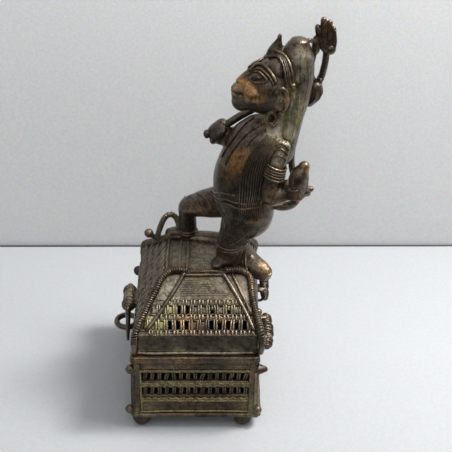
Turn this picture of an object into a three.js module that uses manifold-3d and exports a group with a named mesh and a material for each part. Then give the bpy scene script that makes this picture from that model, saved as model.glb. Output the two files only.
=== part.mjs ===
// Cast bronze casket with a striding monkey-faced figure on its lid.
// Millimetres, +Z up. +X is the hinge side, -X the fastening side that the figure
// faces, and the long sides of the box run along Y, with the near end at -Y.
// Places are set out from the middle of the box on the table. At the end all is
// moved along X until the origin is under the middle of the whole.

import * as THREE from 'three';
import { mergeVertices } from 'three/addons/utils/BufferGeometryUtils.js';
import Module from 'manifold-3d';

// Sizes of the box
const RIM_WIDTH = 64;
const RIM_LENGTH = 84;
const WALL_INSET = 1.4;
const FLARE = 1.0;
const BOX_WALL = 2.6;
const FLOOR_THICKNESS = 2.6;
const FOOT_HEIGHT = 6.4;
const FOOT_RADIUS = 4.6;
const FOOT_INSET_X = 5.6;
const FOOT_INSET_Y = 3.2;
const BOX_TOP = 45;
const POST_RADIUS = 2.5;
const KNOB_RADIUS = 2.5;

// Sizes of the pierced rows in the walls of the box
const SLOT_WIDTH = 1.7;
const SLOT_HEIGHT = 5.2;
const SLOT_PITCH = 3.6;
const END_SLOTS = 14;
const FAR_END_SLOTS = 5;
const SIDE_SLOTS = 5;
const SLOT_ROW_HEIGHTS = [20.3, 28.9];
const THREAD = 1.0;

// Sizes of the lid
const LID_GAP = 0.35;
const LID_INSET_LEFT = 2.8;
const LID_INSET_RIGHT = 1;
const LID_INSET_END = 2.5;
const LID_WALL = 2.4;
const SKIRT_HEIGHT = 12.25;
const ROOF_HEIGHT = 20;
const ROOF_RUN_LEFT = 14.6;
const ROOF_RUN_RIGHT = 5;
const ROOF_RUN_NEAR = 24.7;
const ROOF_RUN_FAR = 23.7;
const LID_OPENING_WIDTH = 1.9;
const LID_OPENING_PITCH = 4.1;
const ROPE_RADIUS = 1.65;
const ROD_RADIUS = 1.2;

// Sizes of the hinges and the fastening
const HINGE_OUT = 3.9;
const HINGE_RISE = 0.2;
const KNUCKLE_RADIUS = 3.5;
const KNUCKLE_LENGTH = 7.6;
const KNUCKLE_GAP = 0.5;
const HINGE_Y = 20.5;
const PIN_RADIUS = 1.0;
const PIN_CLEARANCE = 0.3;
const PIN_HEAD_RADIUS = 1.9;
const BARREL_OUT = 2.9;
const BARREL_RISE = 6;
const BULB_RADIUS = 3.6;
const BULB_SPACING = 11.4;
const HOOK_DROP = 19.5;
const STAPLE_RADIUS = 5.3;
const STAPLE_THICKNESS = 2.9;
const STAPLE_DROP = 9.8;

// The figure is set out 125 high, and grows or shrinks with this height
const FIGURE_HEIGHT = 125;
const FIGURE_Y = 1.5;

const wasm = await Module();
wasm.setup();

// Ways of making and joining solids

function solid(geometry) {
  const bare = geometry.clone();
  bare.deleteAttribute('normal');
  bare.deleteAttribute('uv');
  const merged = mergeVertices(bare, 1e-4);
  return new wasm.Manifold(new wasm.Mesh({
    numProp: 3,
    vertProperties: new Float32Array(merged.attributes.position.array),
    triVerts: new Uint32Array(merged.index.array),
  }));
}

function join(solids) {
  return solids.reduce((whole, piece) => whole.add(piece));
}

function finish(name, shape, shiftX, color, roughness) {
  const { vertProperties, triVerts } = shape.getMesh();
  const geometry = new THREE.BufferGeometry();
  geometry.setAttribute('position', new THREE.BufferAttribute(new Float32Array(vertProperties), 3));
  geometry.setIndex(new THREE.BufferAttribute(new Uint32Array(triVerts), 1));
  geometry.translate(shiftX, 0, 0);
  geometry.computeVertexNormals();
  const material = new THREE.MeshStandardMaterial({ color, roughness, metalness: 1 });
  const mesh = new THREE.Mesh(geometry, material);
  mesh.name = name;
  return mesh;
}

function block(x0, x1, y0, y1, z0, z1) {
  const geometry = new THREE.BoxGeometry(x1 - x0, y1 - y0, z1 - z0);
  geometry.translate((x0 + x1) / 2, (y0 + y1) / 2, (z0 + z1) / 2);
  return solid(geometry);
}

// A block whose top face is a different rectangle from its bottom face
function hipped(bottom, top, z0, z1) {
  const geometry = new THREE.BoxGeometry(1, 1, 1);
  const position = geometry.attributes.position;
  for (let i = 0; i < position.count; i++) {
    const face = position.getZ(i) > 0 ? top : bottom;
    const x = position.getX(i) > 0 ? face.right : face.left;
    const y = position.getY(i) > 0 ? face.far : face.near;
    position.setXYZ(i, x, y, position.getZ(i) > 0 ? z1 : z0);
  }
  return solid(geometry);
}

function ball(centre, radii, sides = 10, rows = 7) {
  const geometry = new THREE.SphereGeometry(1, sides, rows);
  geometry.rotateX(Math.PI / 2);
  geometry.scale(radii[0], radii[1], radii[2]);
  geometry.translate(centre[0], centre[1], centre[2]);
  return solid(geometry);
}

// A round bar of one thickness along a smooth path
function bar(points, radius, sides = 6, steps = 8, closed = false) {
  const section = [];
  for (let i = 0; i < sides; i++) {
    const turn = (2 * Math.PI * i) / sides;
    section.push(new THREE.Vector2(radius * Math.cos(turn), radius * Math.sin(turn)));
  }
  const path = new THREE.CatmullRomCurve3(points.map((p) => new THREE.Vector3(...p)), closed, 'centripetal');
  return solid(new THREE.ExtrudeGeometry(new THREE.Shape(section), {
    steps,
    extrudePath: path,
    bevelEnabled: false,
  }));
}

// A turned piece about an axis along Y, from [radius, y] pairs
function turned(profile, x, z, sides = 12) {
  const geometry = new THREE.LatheGeometry(profile.map(([r, y]) => new THREE.Vector2(r, y)), sides);
  geometry.translate(x, 0, z);
  return solid(geometry);
}

// A limb or trunk: the rings of a sphere carried along a spine. Each station is
// [x, y, z, half width across, half width the other way]; the two ends are points.
function limb(stations, sides = 9, across = [0, 1, 0]) {
  const geometry = new THREE.SphereGeometry(1, sides, stations.length - 1);
  const position = geometry.attributes.position;
  const centres = stations.map(([x, y, z]) => new THREE.Vector3(x, y, z));
  const last = stations.length - 1;
  for (let i = 0; i < position.count; i++) {
    const ring = Math.floor(i / (sides + 1));
    const turn = (2 * Math.PI * ((i % (sides + 1)) % sides)) / sides;
    const along = centres[Math.min(ring + 1, last)].clone().sub(centres[Math.max(ring - 1, 0)]).normalize();
    const wide = new THREE.Vector3(...across);
    wide.addScaledVector(along, -wide.dot(along)).normalize();
    const deep = wide.clone().cross(along);
    const [, , , a = 0, b = a] = stations[ring];
    const point = centres[ring].clone();
    point.addScaledVector(wide, a * Math.cos(turn)).addScaledVector(deep, b * Math.sin(turn));
    position.setXYZ(i, point.x, point.y, point.z);
  }
  return solid(geometry);
}

// Box: cast in one with its feet, knobs, pierced walls and staple

const bodyX = RIM_WIDTH / 2 - WALL_INSET;
const bodyY = RIM_LENGTH / 2 - WALL_INSET;
const insideX = bodyX - BOX_WALL;
const insideY = bodyY - BOX_WALL;
const corners = [[-1, -1], [1, -1], [1, 1], [-1, 1]];
const hingeX = RIM_WIDTH / 2 + HINGE_OUT;
const hingeZ = BOX_TOP + HINGE_RISE;
const barrelX = -RIM_WIDTH / 2 - BARREL_OUT;
const barrelZ = BOX_TOP + BARREL_RISE;

function band(z0, z1, out) {
  return block(-bodyX - out, bodyX + out, -bodyY - out, bodyY + out, z0, z1);
}

function knuckle(y, radius = KNUCKLE_RADIUS) {
  const half = KNUCKLE_LENGTH / 2;
  return turned([
    [0, y - half],
    [radius * 0.74, y - half],
    [radius, y],
    [radius * 0.74, y + half],
    [0, y + half],
  ], hingeX, hingeZ, 8);
}

function bore(x, z, y0, y1) {
  const geometry = new THREE.CylinderGeometry(PIN_RADIUS + PIN_CLEARANCE, PIN_RADIUS + PIN_CLEARANCE, y1 - y0, 8);
  geometry.translate(x, (y0 + y1) / 2, z);
  return solid(geometry);
}

const boxPieces = [
  hipped(
    { left: -bodyX - FLARE, right: bodyX + FLARE, near: -bodyY - FLARE, far: bodyY + FLARE },
    { left: -bodyX, right: bodyX, near: -bodyY, far: bodyY },
    FOOT_HEIGHT,
    BOX_TOP,
  ),
  band(BOX_TOP - 3.4, BOX_TOP, WALL_INSET),
  band(35.1, 36.4, THREAD),
  band(26.2, 28.2, 0.7 + FLARE * 0.4),
  band(17.0, 18.4, THREAD + FLARE * 0.7),
  band(FOOT_HEIGHT, FOOT_HEIGHT + 2.6, THREAD + FLARE),
];
for (const [sx, sy] of corners) {
  const postX = sx * (RIM_WIDTH / 2 - POST_RADIUS - 0.1);
  const postY = sy * (RIM_LENGTH / 2 - POST_RADIUS - 0.1);
  boxPieces.push(bar([
    [postX + sx * FLARE, postY + sy * FLARE, FOOT_HEIGHT],
    [postX, postY, BOX_TOP - 0.5],
  ], POST_RADIUS, 6, 1));
  for (const [z, out] of [[10.6, FLARE], [36.8, 0]]) {
    const knob = [sx * (RIM_WIDTH / 2 + 0.6 + out), sy * (RIM_LENGTH / 2 - 1.2), z];
    boxPieces.push(ball(knob, [KNOB_RADIUS, KNOB_RADIUS, KNOB_RADIUS], 6, 3));
  }
  const foot = [sx * (RIM_WIDTH / 2 - FOOT_INSET_X), sy * (RIM_LENGTH / 2 - FOOT_INSET_Y), FOOT_RADIUS - 0.35];
  boxPieces.push(ball(foot, [FOOT_RADIUS, FOOT_RADIUS, FOOT_RADIUS], 8, 4));
}
for (const sy of [-1, 1]) {
  const y = sy * HINGE_Y;
  const half = KNUCKLE_LENGTH / 2;
  boxPieces.push(knuckle(y));
  boxPieces.push(block(bodyX - 1, hingeX, y - half + 0.6, y + half - 0.6, BOX_TOP - 3.2, BOX_TOP - 0.3));
}
const staple = new THREE.TorusGeometry(STAPLE_RADIUS, STAPLE_THICKNESS / 2, 5, 12);
staple.translate(-RIM_WIDTH / 2 - STAPLE_RADIUS + 0.4, 0, BOX_TOP - STAPLE_DROP);
boxPieces.push(solid(staple));

let boxShape = join(boxPieces);
boxShape = boxShape.subtract(block(-100, 100, -100, 100, -5, 0));
boxShape = boxShape.subtract(block(-insideX, insideX, -insideY, insideY, FOOT_HEIGHT + FLOOR_THICKNESS, BOX_TOP + 5));
for (const sy of [-1, 1]) {
  boxShape = boxShape.subtract(bore(hingeX, hingeZ, sy * HINGE_Y - 6, sy * HINGE_Y + 6));
}
const slots = [];
for (const z of SLOT_ROW_HEIGHTS) {
  for (const [sy, count] of [[-1, END_SLOTS], [1, FAR_END_SLOTS]]) {
    const pitch = (END_SLOTS * SLOT_PITCH) / count;
    const y = (sy * (bodyY + insideY)) / 2;
    for (let i = 0; i < count; i++) {
      const x = (i - (count - 1) / 2) * pitch;
      slots.push(block(x - SLOT_WIDTH / 2, x + SLOT_WIDTH / 2, y - BOX_WALL, y + BOX_WALL, z, z + SLOT_HEIGHT));
    }
  }
  for (const sx of [-1, 1]) {
    const x = (sx * (bodyX + insideX)) / 2;
    for (let i = 0; i < SIDE_SLOTS; i++) {
      const y = (i - (SIDE_SLOTS - 1) / 2) * SLOT_PITCH * 3.4;
      slots.push(block(x - BOX_WALL, x + BOX_WALL, y - SLOT_WIDTH / 2, y + SLOT_WIDTH / 2, z, z + SLOT_HEIGHT));
    }
  }
}
boxShape = boxShape.subtract(join(slots));

// Lid: a hollow hipped roof, steeper on the hinge side

const lidY = RIM_LENGTH / 2 - LID_INSET_END;
const lidBottom = BOX_TOP + LID_GAP;
const skirtTop = lidBottom + SKIRT_HEIGHT;
const lidTop = skirtTop + ROOF_HEIGHT;
const lidLeft = LID_INSET_LEFT - RIM_WIDTH / 2;
const lidRight = RIM_WIDTH / 2 - LID_INSET_RIGHT;
const skirt = { left: lidLeft, right: lidRight, near: -lidY, far: lidY };
const plateau = {
  left: lidLeft + ROOF_RUN_LEFT,
  right: lidRight - ROOF_RUN_RIGHT,
  near: -lidY + ROOF_RUN_NEAR,
  far: lidY - ROOF_RUN_FAR,
};

// The roof's rectangle at height z, each side taken in so that the wall is LID_WALL thick
function roofRectangle(z, wall) {
  const share = (z - skirtTop) / (lidTop - skirtTop);
  const rectangle = {};
  for (const side of ['left', 'right', 'near', 'far']) {
    const run = plateau[side] - skirt[side];
    const rise = lidTop - skirtTop;
    const inward = side === 'left' || side === 'near' ? 1 : -1;
    rectangle[side] = skirt[side] + share * run + (inward * wall * Math.hypot(run, rise)) / rise;
  }
  return rectangle;
}

function onHip(sx, sy, share, out = 0) {
  const x0 = sx < 0 ? plateau.left : plateau.right;
  const x1 = sx < 0 ? skirt.left : skirt.right;
  const y0 = sy < 0 ? plateau.near : plateau.far;
  const y1 = sy < 0 ? skirt.near : skirt.far;
  return [
    x0 + (x1 - x0) * share + sx * out,
    y0 + (y1 - y0) * share + sy * out * 0.5,
    lidTop + (skirtTop - lidTop) * share + out * 0.4,
  ];
}

const lidShell = join([
  block(lidLeft, lidRight, -lidY, lidY, lidBottom, skirtTop),
  block(lidLeft - 0.8, lidRight + 0.8, -lidY - 0.8, lidY + 0.8, lidBottom, lidBottom + 1.8),
  hipped(roofRectangle(skirtTop, 0), plateau, skirtTop, lidTop),
]);
const ceiling = lidTop - LID_WALL;
const lidHollow = join([
  block(lidLeft + LID_WALL, lidRight - LID_WALL, -lidY + LID_WALL, lidY - LID_WALL, lidBottom - 1, skirtTop - 1),
  hipped(roofRectangle(skirtTop - 1.001, LID_WALL), roofRectangle(ceiling, LID_WALL), skirtTop - 1.001, ceiling),
]);

// Two rows of openings in the near end; some were filled in when it was cast
const endOpenings = [];
for (const i of [-4, -3, -2, 1, 2, 3, 4, 5]) {
  const x = (i + 1) * LID_OPENING_PITCH;
  const z = skirtTop + 2;
  endOpenings.push(block(x - LID_OPENING_WIDTH / 2, x + LID_OPENING_WIDTH / 2, -lidY - 2, -lidY + 12, z, z + 2.8));
}
for (const i of [-3, -2, 1, 3]) {
  const x = (i + 1.1) * LID_OPENING_PITCH;
  const z = skirtTop + (i > 0 ? 8.4 : 7.4);
  const top = skirtTop + 9.6;
  endOpenings.push(block(x - LID_OPENING_WIDTH / 2, x + LID_OPENING_WIDTH / 2, -lidY - 2, -lidY + 16, z, top));
}

const lidPieces = [lidShell.subtract(join(endOpenings)).subtract(lidHollow)];
for (const [sx, sy] of corners) {
  const corner = onHip(sx, sy, 0);
  const bulges = sx > 0 && sy < 0;
  const ropeFoot = sx < 0 ? lidLeft - 0.9 : lidRight + (bulges ? 1.4 : -1.1);
  lidPieces.push(bar([
    [corner[0] - sx * 11, corner[1] - sy * 0.2, lidTop + 0.9],
    [corner[0] - sx * 4, corner[1] - sy * 0.3, lidTop + 1.1],
    onHip(sx, sy, 0.06, 0.6),
    onHip(sx, sy, 0.3, 0.6),
    onHip(sx, sy, 0.6, 0.6),
    onHip(sx, sy, 0.96, bulges ? 1.8 : 0.3),
    [ropeFoot + (bulges ? 0.9 : 0.2), sy * (lidY + 0.4), skirtTop - 6],
    [ropeFoot, sy * (lidY + 0.4), lidBottom + 1.2],
  ], ROPE_RADIUS, 5, 8));
}
for (const sy of [-1, 1]) {
  const run = sy < 0 ? ROOF_RUN_NEAR : ROOF_RUN_FAR;
  const onEnd = (x, up) => [x, sy * (lidY - (up / ROOF_HEIGHT) * run), skirtTop + up];
  const leftRod = (up) => plateau.left + 9.4 + (lidLeft + 5.7 - plateau.left - 9.4) * (1 - up / ROOF_HEIGHT);
  const rightRod = (up) => plateau.right - 12.4 + (lidRight - 1.8 - plateau.right + 12.4) * (1 - up / ROOF_HEIGHT);
  for (const rodX of [leftRod, rightRod]) {
    lidPieces.push(bar([19.6, 10.4, 1.2].map((up) => onEnd(rodX(up), up + 0.2)), ROD_RADIUS, 5, 3));
  }
  for (const up of sy < 0 ? [0.3, 5.8, 10.4] : [5.8]) {
    lidPieces.push(bar([onEnd(leftRod(up), up), onEnd(rightRod(up), up)], THREAD, 4, 1));
  }
  const edgeY = sy * (plateau.far - 0.6);
  lidPieces.push(bar([
    [plateau.left + 11.6, edgeY, lidTop + 0.5],
    [plateau.right - 14.5, edgeY, lidTop + 0.5],
  ], 1.3, 4, 1));
}
lidPieces.push(block(plateau.left + 7, plateau.left + 10.4, plateau.near - 0.7, plateau.far - 1.8, lidTop - 1, lidTop + 0.8));
for (const [sx, share] of [[-1, 0.12], [-1, 0.4], [-1, 0.68], [1, 0.5]]) {
  const near = onHip(sx, -1, share);
  const far = onHip(sx, 1, share);
  lidPieces.push(bar([near, far], 0.9, 4, 1));
}
for (const sy of [-1, 1]) {
  for (const offset of [-1, 1]) {
    const y = sy * HINGE_Y + offset * (KNUCKLE_LENGTH + KNUCKLE_GAP);
    const half = KNUCKLE_LENGTH / 2;
    lidPieces.push(knuckle(y));
    lidPieces.push(block(lidRight - 1, hingeX, y - half + 0.6, y + half - 0.6, lidBottom + 0.35, lidBottom + 3));
  }
}

// The barrel of the fastening: two bulbs with a collar between them
const barrelPieces = [
  block(barrelX, lidLeft + 0.6, -6.6, 6.6, barrelZ - 1.5, barrelZ + 1.5),
  turned([[0, -4], [2.9, -4], [2.9, 4], [0, 4]], barrelX, barrelZ, 8),
];
for (const sy of [-1, 1]) {
  barrelPieces.push(ball([barrelX, sy * BULB_SPACING / 2, barrelZ], [BULB_RADIUS, BULB_RADIUS, BULB_RADIUS], 8, 5));
}
lidPieces.push(join(barrelPieces));
let lidShape = join(lidPieces);
for (const sy of [-1, 1]) {
  lidShape = lidShape.subtract(bore(hingeX, hingeZ, sy * HINGE_Y - 16, sy * HINGE_Y + 16));
}
lidShape = lidShape.subtract(bore(barrelX, barrelZ, -12, 12));

// Figure: set out in its own frame, up from the middle of the lid's flat top

const scale = FIGURE_HEIGHT / 125;
function place([x, y, z, ...radii]) {
  return [x * scale, FIGURE_Y + y * scale, lidTop + z * scale, ...radii.map((r) => r * scale)];
}
const figureLimb = (stations, sides, across) => limb(stations.map(place), sides, across);
const figureBar = (points, radius, sides, steps) => bar(points.map(place), radius * scale, sides, steps);
const figureBall = (centre, radii, sides, rows) => ball(place(centre), radii.map((r) => r * scale), sides, rows);
const middle = 2;
const bothSides = (make) => [make((y) => y), make((y) => 2 * middle - y)];
const shoulders = [0.8, -0.6, 0];

const torso = figureLimb([
  [24.5, 2, 14.5],
  [24.5, 2, 17, 8, 7],
  [24.8, 1.5, 23, 13, 11],
  [24.5, 1.5, 29, 13.8, 11.8],
  [23.5, 1.5, 36.5, 13.6, 11.6],
  [24, 1.5, 45, 15, 12.4],
  [27, 1.5, 55, 15.5, 12],
  [30.5, 1.5, 63, 15, 10.5],
  [34.5, 2, 70, 11.5, 8.5],
  [37.8, 2, 76, 6.8, 6.6],
  [40, 2, 84, 6.6, 6.6],
  [41, 2, 92],
], 9, shoulders);

const head = figureLimb([
  [17.9, 2, 89.2],
  [18.8, 2, 89.4, 4.4, 3.6],
  [21.4, 2, 89.8, 6.4, 6.2],
  [30.4, 2, 91.6, 10.2, 12],
  [35.6, 2, 93.2, 11.4, 13.6],
  [41, 2, 94.8, 11.4, 13],
  [46, 2, 96, 9.5, 10],
  [49, 2, 97],
], 10);

const cap = figureLimb([
  [49.2, 2, 119.6],
  [49, 2, 117.6, 4.4, 4.0],
  [48.3, 2, 110.5, 7.6, 7.3],
  [48.6, 2, 102, 8.8, 8],
  [48.2, 2, 90, 8.5, 7],
  [46.6, 2, 78, 6.8, 5.7],
  [44.4, 2, 61, 5.1, 4.7],
  [43, 2, 51],
], 8);

const crest = figureLimb([
  [37, 2, 107],
  [37.4, 2, 110.5, 2.4, 4.3],
  [38.7, 2, 115, 1.7, 2.6],
  [40.1, 2, 120.5],
], 6);

const farLeg = figureLimb([
  [27, 6, 28],
  [21, 8, 27.6, 9, 8.4],
  [10, 10.5, 24.4, 7.8, 8.0],
  [2, 13.5, 21.8, 6.6, 6.8],
  [-3.0, 15.2, 20.2, 5.3, 5.9],
  [-4.4, 16, 14, 4.4, 4.6],
  [-4.4, 16, 7, 4.4, 4.7],
  [-4.4, 16, 2, 4.6, 4.8],
  [-4.4, 16, -1],
], 8);
const farFoot = figureLimb([
  [-16, 17.8, 1.6],
  [-14.6, 17.7, 1.8, 2.6, 1.8],
  [-9, 17, 2.6, 3.6, 2.8],
  [-3, 16.2, 2.6, 3.6, 2.9],
  [0.6, 15.8, 0.6],
], 8);

const nearLeg = figureLimb([
  [25.6, -2, 37],
  [25.8, -2.5, 33, 8.2, 12],
  [25.2, -3.4, 25, 9.2, 12.6],
  [23, -4.6, 18, 8.6, 10.4],
  [20, -5.6, 12, 7.4, 8.4],
  [18.2, -6.2, 7, 6.8, 7.6],
  [18, -6.6, 2, 6.8, 7.2],
  [18, -6.6, -1],
], 8);
const nearFoot = figureLimb([
  [8.6, -11.4, 1.6],
  [9.8, -11, 1.8, 3, 1.8],
  [14, -9.4, 2.8, 4.6, 3],
  [19, -7.6, 2.8, 4.8, 3],
  [24, -5.6, 1],
], 8);

const nearArm = figureLimb([
  [42.5, -4.5, 69],
  [42, -6, 66.6, 3.6, 4.4],
  [40.8, -8, 62, 4.3, 4.6],
  [39, -10, 55, 4.2, 4.4],
  [37.4, -11.4, 47, 4.5, 4.9],
  [37, -12, 42, 4.5, 4.9],
  [41, -12.6, 42.6, 3.9, 4],
  [45.6, -12.8, 43.4, 2.6, 2.6],
  [50, -12.6, 44.6, 2.6, 3.4],
  [55, -12, 44.5, 2.2, 2.6],
  [56.5, -12, 44.6],
], 8);
const offering = figureLimb([
  [50.5, -12, 40.5],
  [50.5, -12, 43, 3.2, 3.6],
  [49.8, -12, 48, 4.4, 4.9],
  [50.2, -12, 53.5, 4.2, 4.6],
  [52.2, -12, 58.6, 2.6, 2.8],
  [53.8, -12, 61.6],
], 7);
const peg = figureBar([[52, -12, 46], [58.2, -12, 45.2]], 1.5, 5, 1);

const farArm = figureLimb([
  [24, 6, 66],
  [20, 8.4, 65, 5, 5],
  [14.6, 11.4, 62, 4.6, 5],
  [11, 12, 61.5, 4.4, 4.8],
  [10.6, 12, 64.5, 4.2, 4.6],
  [13.5, 11.6, 68, 4, 3.6],
  [16.4, 11.2, 69.4],
], 8);
const mace = figureBar([[4.6, 11, 63.8], [13, 11.2, 67.2], [24, 11, 74.4], [40, 10, 84], [55, 8, 91]], 1.9, 4, 3);
const maceEnd = figureBall([4.6, 11, 63.9], [2.3, 2.1, 2.2], 7, 4);
const maceHead = figureLimb([
  [53.8, 8, 79.4],
  [54.8, 8, 81.6, 3.4, 2.6],
  [56.9, 8, 86.5, 4.6, 4],
  [58, 8, 90.5, 4, 3.2],
  [58.6, 8, 93.6],
], 7);

const tail = figureBar([
  [35, 2, 29.4],
  [40, 1.5, 28.4],
  [44.4, 1.2, 27.8],
  [48.6, 1, 29.6],
  [50.6, 1, 33.6],
  [50.4, 1.4, 40],
  [48, 2, 50],
  [48.6, 3, 58],
  [51.2, 4, 69],
  [54.4, 6, 82],
  [58.4, 8.6, 94],
  [61, 9, 103],
  [62.6, 9, 108.6],
], 1.7, 5, 15);
const tailTuft = [
  [[62.2, 9, 105], [59.8, 9, 113], [58, 9, 121.4], 1.9],
  [[62.6, 9, 106], [61, 9, 115], [61.4, 9, 125.6], 2.0],
  [[63, 9, 106], [63.8, 9, 115], [64, 9, 122.6], 1.9],
  [[63.4, 9, 105], [66.2, 9, 110], [66.4, 9, 117.6], 1.7],
].map(([root, waist, tip, r]) => figureLimb([
  root,
  [...root.map((v, i) => v + (waist[i] - v) * 0.3), r, r],
  [...waist, r, r],
  [...tip.map((v, i) => v + (waist[i] - v) * 0.2), r * 0.8, r * 0.8],
  tip,
], 5));
const tuftRoot = figureBall([62.8, 9, 106.8], [3.7, 3, 3.4], 7, 4);
const brace = figureBar([[59, 9, 112.5], [57.2, 7.6, 103], [56.8, 7.4, 97.6], [58.8, 8.4, 93.4]], 1.1, 4, 5);
const capTie = figureBar([[53, 3, 116], [58.8, 8.6, 115]], 1.2, 4, 1);

// Dress and features, laid on in strands as the wax model was
const crownBands = [0, 1, 2].map((i) => figureBar([
  [43.8, 12.4, 94],
  [43.6, 12.0, 98],
  [41.8, 9.6, 103.4],
  [38.4, 5.6, 106.8],
  [35.2, 2, 107],
  [38.4, -1.6, 106.8],
  [41.8, -5.6, 103.4],
  [43.6, -8.0, 98],
  [43.8, -8.4, 94],
].map(([x, y, z]) => [x + i * 2.3, y, z + i * 1.1]), 1.1, 4, 7));
const brows = figureBar([
  [38.4, 12.4, 99.6],
  [35.4, 9, 104.4],
  [31.4, 4.8, 105.2],
  [28.4, 2, 104],
  [31.4, -0.8, 105.2],
  [35.4, -5, 104.4],
  [38.4, -8.4, 99.6],
], 1.3, 4, 7);
const eyes = bothSides((at) => figureBall([30.8, at(-4), 100.8], [3.9, 2.2, 2.6], 7, 4));
const nose = figureBall([21.2, 2, 95], [2.4, 2.7, 2.2], 6, 4);
const ears = bothSides((at) => figureBar([
  [38.8, at(-8.6), 96.6],
  [41.6, at(-9.4), 98],
  [44.6, at(-9.2), 94.6],
  [44.4, at(-7.8), 89],
  [41, at(-6.4), 84],
], 1.5, 4, 5));
const earrings = bothSides((at) => {
  const ring = new THREE.TorusGeometry(2.4 * scale, 1.1 * scale, 4, 8);
  ring.rotateX(Math.PI / 2);
  ring.translate(...place([37, at(-5.6), 80.8]));
  return solid(ring);
});
const mouth = figureBall([17.6, 2, 92], [6.4, 7.5, 0.55], 6, 4);

const straps = [
  [[30, 3.6, 77], [24.5, 2.2, 73], [20.2, 0.5, 68.4], [16.4, 0.4, 62.2], [13.6, 3, 55]],
  [[33.4, -2, 76.8], [26.8, -2.3, 72.2], [22.1, -3.2, 67.2], [18.3, -3.4, 61.3], [15, -3, 53]],
].map((points) => figureBar(points, 1.1, 4, 4));
const shawlFront = [[36.2, -6, 70.8], [28.2, -8.4, 62.8], [24, -10, 54], [22.6, -10.8, 42], [23.6, -10.8, 31]];
const shawlBack = [[43, -6.4, 68.6], [36.6, -9.8, 62.6], [34, -11, 54.6], [33.4, -11.4, 44], [31, -11.4, 28]];
const shawl = [0, 0.33, 0.67, 1].map((share) => figureBar(
  shawlFront.map((point, i) => point.map((v, k) => v + (shawlBack[i][k] - v) * share)),
  1.25,
  4,
  4,
));
const armlets = [0, 1].map((i) => figureLimb([
  [39.4, -9.4, 57.6],
  [39.3, -9.6, 57.0, 5.2, 5.2],
  [38.7, -10.4, 54.4, 5.3, 5.3],
  [38.6, -10.5, 53.8],
].map(([x, y, z, ...r]) => [x - i * 0.7, y - i * 0.8, z - i * 3.2, ...r]), 7));
const belt = figureLimb([
  [24, 1.5, 33],
  [24, 1.5, 33.6, 14.6, 12.6],
  [23.6, 1.5, 36, 14.6, 12.6],
  [23.6, 1.5, 36.6],
], 8, shoulders);
const anklet = figureLimb([
  [19.2, -6, 8.4],
  [19.4, -6, 8.8, 7.9, 8.6],
  [19.8, -5.8, 11, 8, 8.8],
  [20, -5.8, 11.6],
], 8);

// The beast that lies under the feet: its body, its blunt head and its looped tail
const beastBody = figureLimb([
  [-18, 16.5, -0.5],
  [-12, 16.4, 0.4, 3.2, 1.8],
  [2, 14.6, 0.8, 4.2, 3.0],
  [14, 11, 0.6, 5, 3.6],
  [23, 3, 0.2, 6, 4.6],
  [27, -5, 0.6, 5.8, 5.2],
  [30.6, -9.4, -1.6, 5.2, 5.0],
  [34.4, -12, -4, 4.4, 4.4],
  [36.6, -13.2, -5.4, 3, 3],
  [37.6, -13.6, -6],
], 8);
const beastEar = figureBall([28, -7.6, 4.4], [1.4, 1.4, 1.8], 6, 4);
const beastTail = figureBar([
  [-20.4, 16.5, -1.2],
  [-20, 16.4, 4],
  [-17.8, 16.2, 11.6],
  [-14.4, 16, 14.8],
  [-11.2, 16, 12.4],
  [-9.6, 16, 5.5],
], 1.6, 5, 8);
const spur = figureBar([[-20, 16.4, -2], [-24, 16, 3.2]], 1.4, 4, 1);
const spurBall = figureBall([-24.4, 16, 3.8], [2.5, 2.5, 2.5], 7, 4);

const figurePieces = [
  torso, head.add(nose).subtract(mouth), ...crownBands, brows, ...eyes, ...ears, ...earrings,
  ...straps, ...shawl, ...armlets, belt, anklet, cap, crest, farLeg, farFoot, nearLeg, nearFoot, nearArm, offering, peg,
  farArm, mace, maceEnd, maceHead, tail, ...tailTuft, tuftRoot, brace, capTie,
  beastBody, beastEar, beastTail, spur, spurBall,
];
// Feet and beast are cut back to the ceiling so that the lid stays hollow beneath them
const castLid = lidShape.add(join(figurePieces).subtract(lidHollow));

// Hinge pins and the hook of the fastening

function hingePin(y) {
  const half = KNUCKLE_LENGTH * 1.5 + KNUCKLE_GAP + 0.4;
  return turned([
    [0, y - half - 1.3],
    [PIN_HEAD_RADIUS * 0.7, y - half - 1.2],
    [PIN_HEAD_RADIUS, y - half],
    [PIN_RADIUS, y - half],
    [PIN_RADIUS, y + half],
    [PIN_HEAD_RADIUS, y + half],
    [PIN_HEAD_RADIUS * 0.7, y + half + 1.2],
    [0, y + half + 1.3],
  ], hingeX, hingeZ, 8);
}

const barrelEnd = BULB_SPACING / 2 + BULB_RADIUS;
const hook = join([
  turned([
    [0, -barrelEnd - 1.6],
    [PIN_RADIUS, -barrelEnd - 1.6],
    [PIN_RADIUS, barrelEnd + 0.4],
    [PIN_HEAD_RADIUS, barrelEnd + 0.4],
    [PIN_HEAD_RADIUS * 0.7, barrelEnd + 1.5],
    [0, barrelEnd + 1.6],
  ], barrelX, barrelZ, 8),
  limb([
    [barrelX, -barrelEnd - 1.7, barrelZ + 2],
    [barrelX, -barrelEnd - 1.7, barrelZ + 1, 1.2, 1.5],
    [barrelX, -barrelEnd - 1.7, barrelZ - 3, 1.2, 1.4],
    [barrelX - 0.5, -barrelEnd - 1.7, barrelZ - HOOK_DROP * 0.6, 1.1, 1.2],
    [barrelX - 0.9, -barrelEnd - 1.7, barrelZ - HOOK_DROP + 0.8, 0.8, 0.8],
    [barrelX - 0.9, -barrelEnd - 1.7, barrelZ - HOOK_DROP],
  ], 8),
]);

const leftmost = boxShape.boundingBox().min[0];
const rightmost = castLid.boundingBox().max[0];
const shiftX = -(leftmost + rightmost) / 2;

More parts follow.
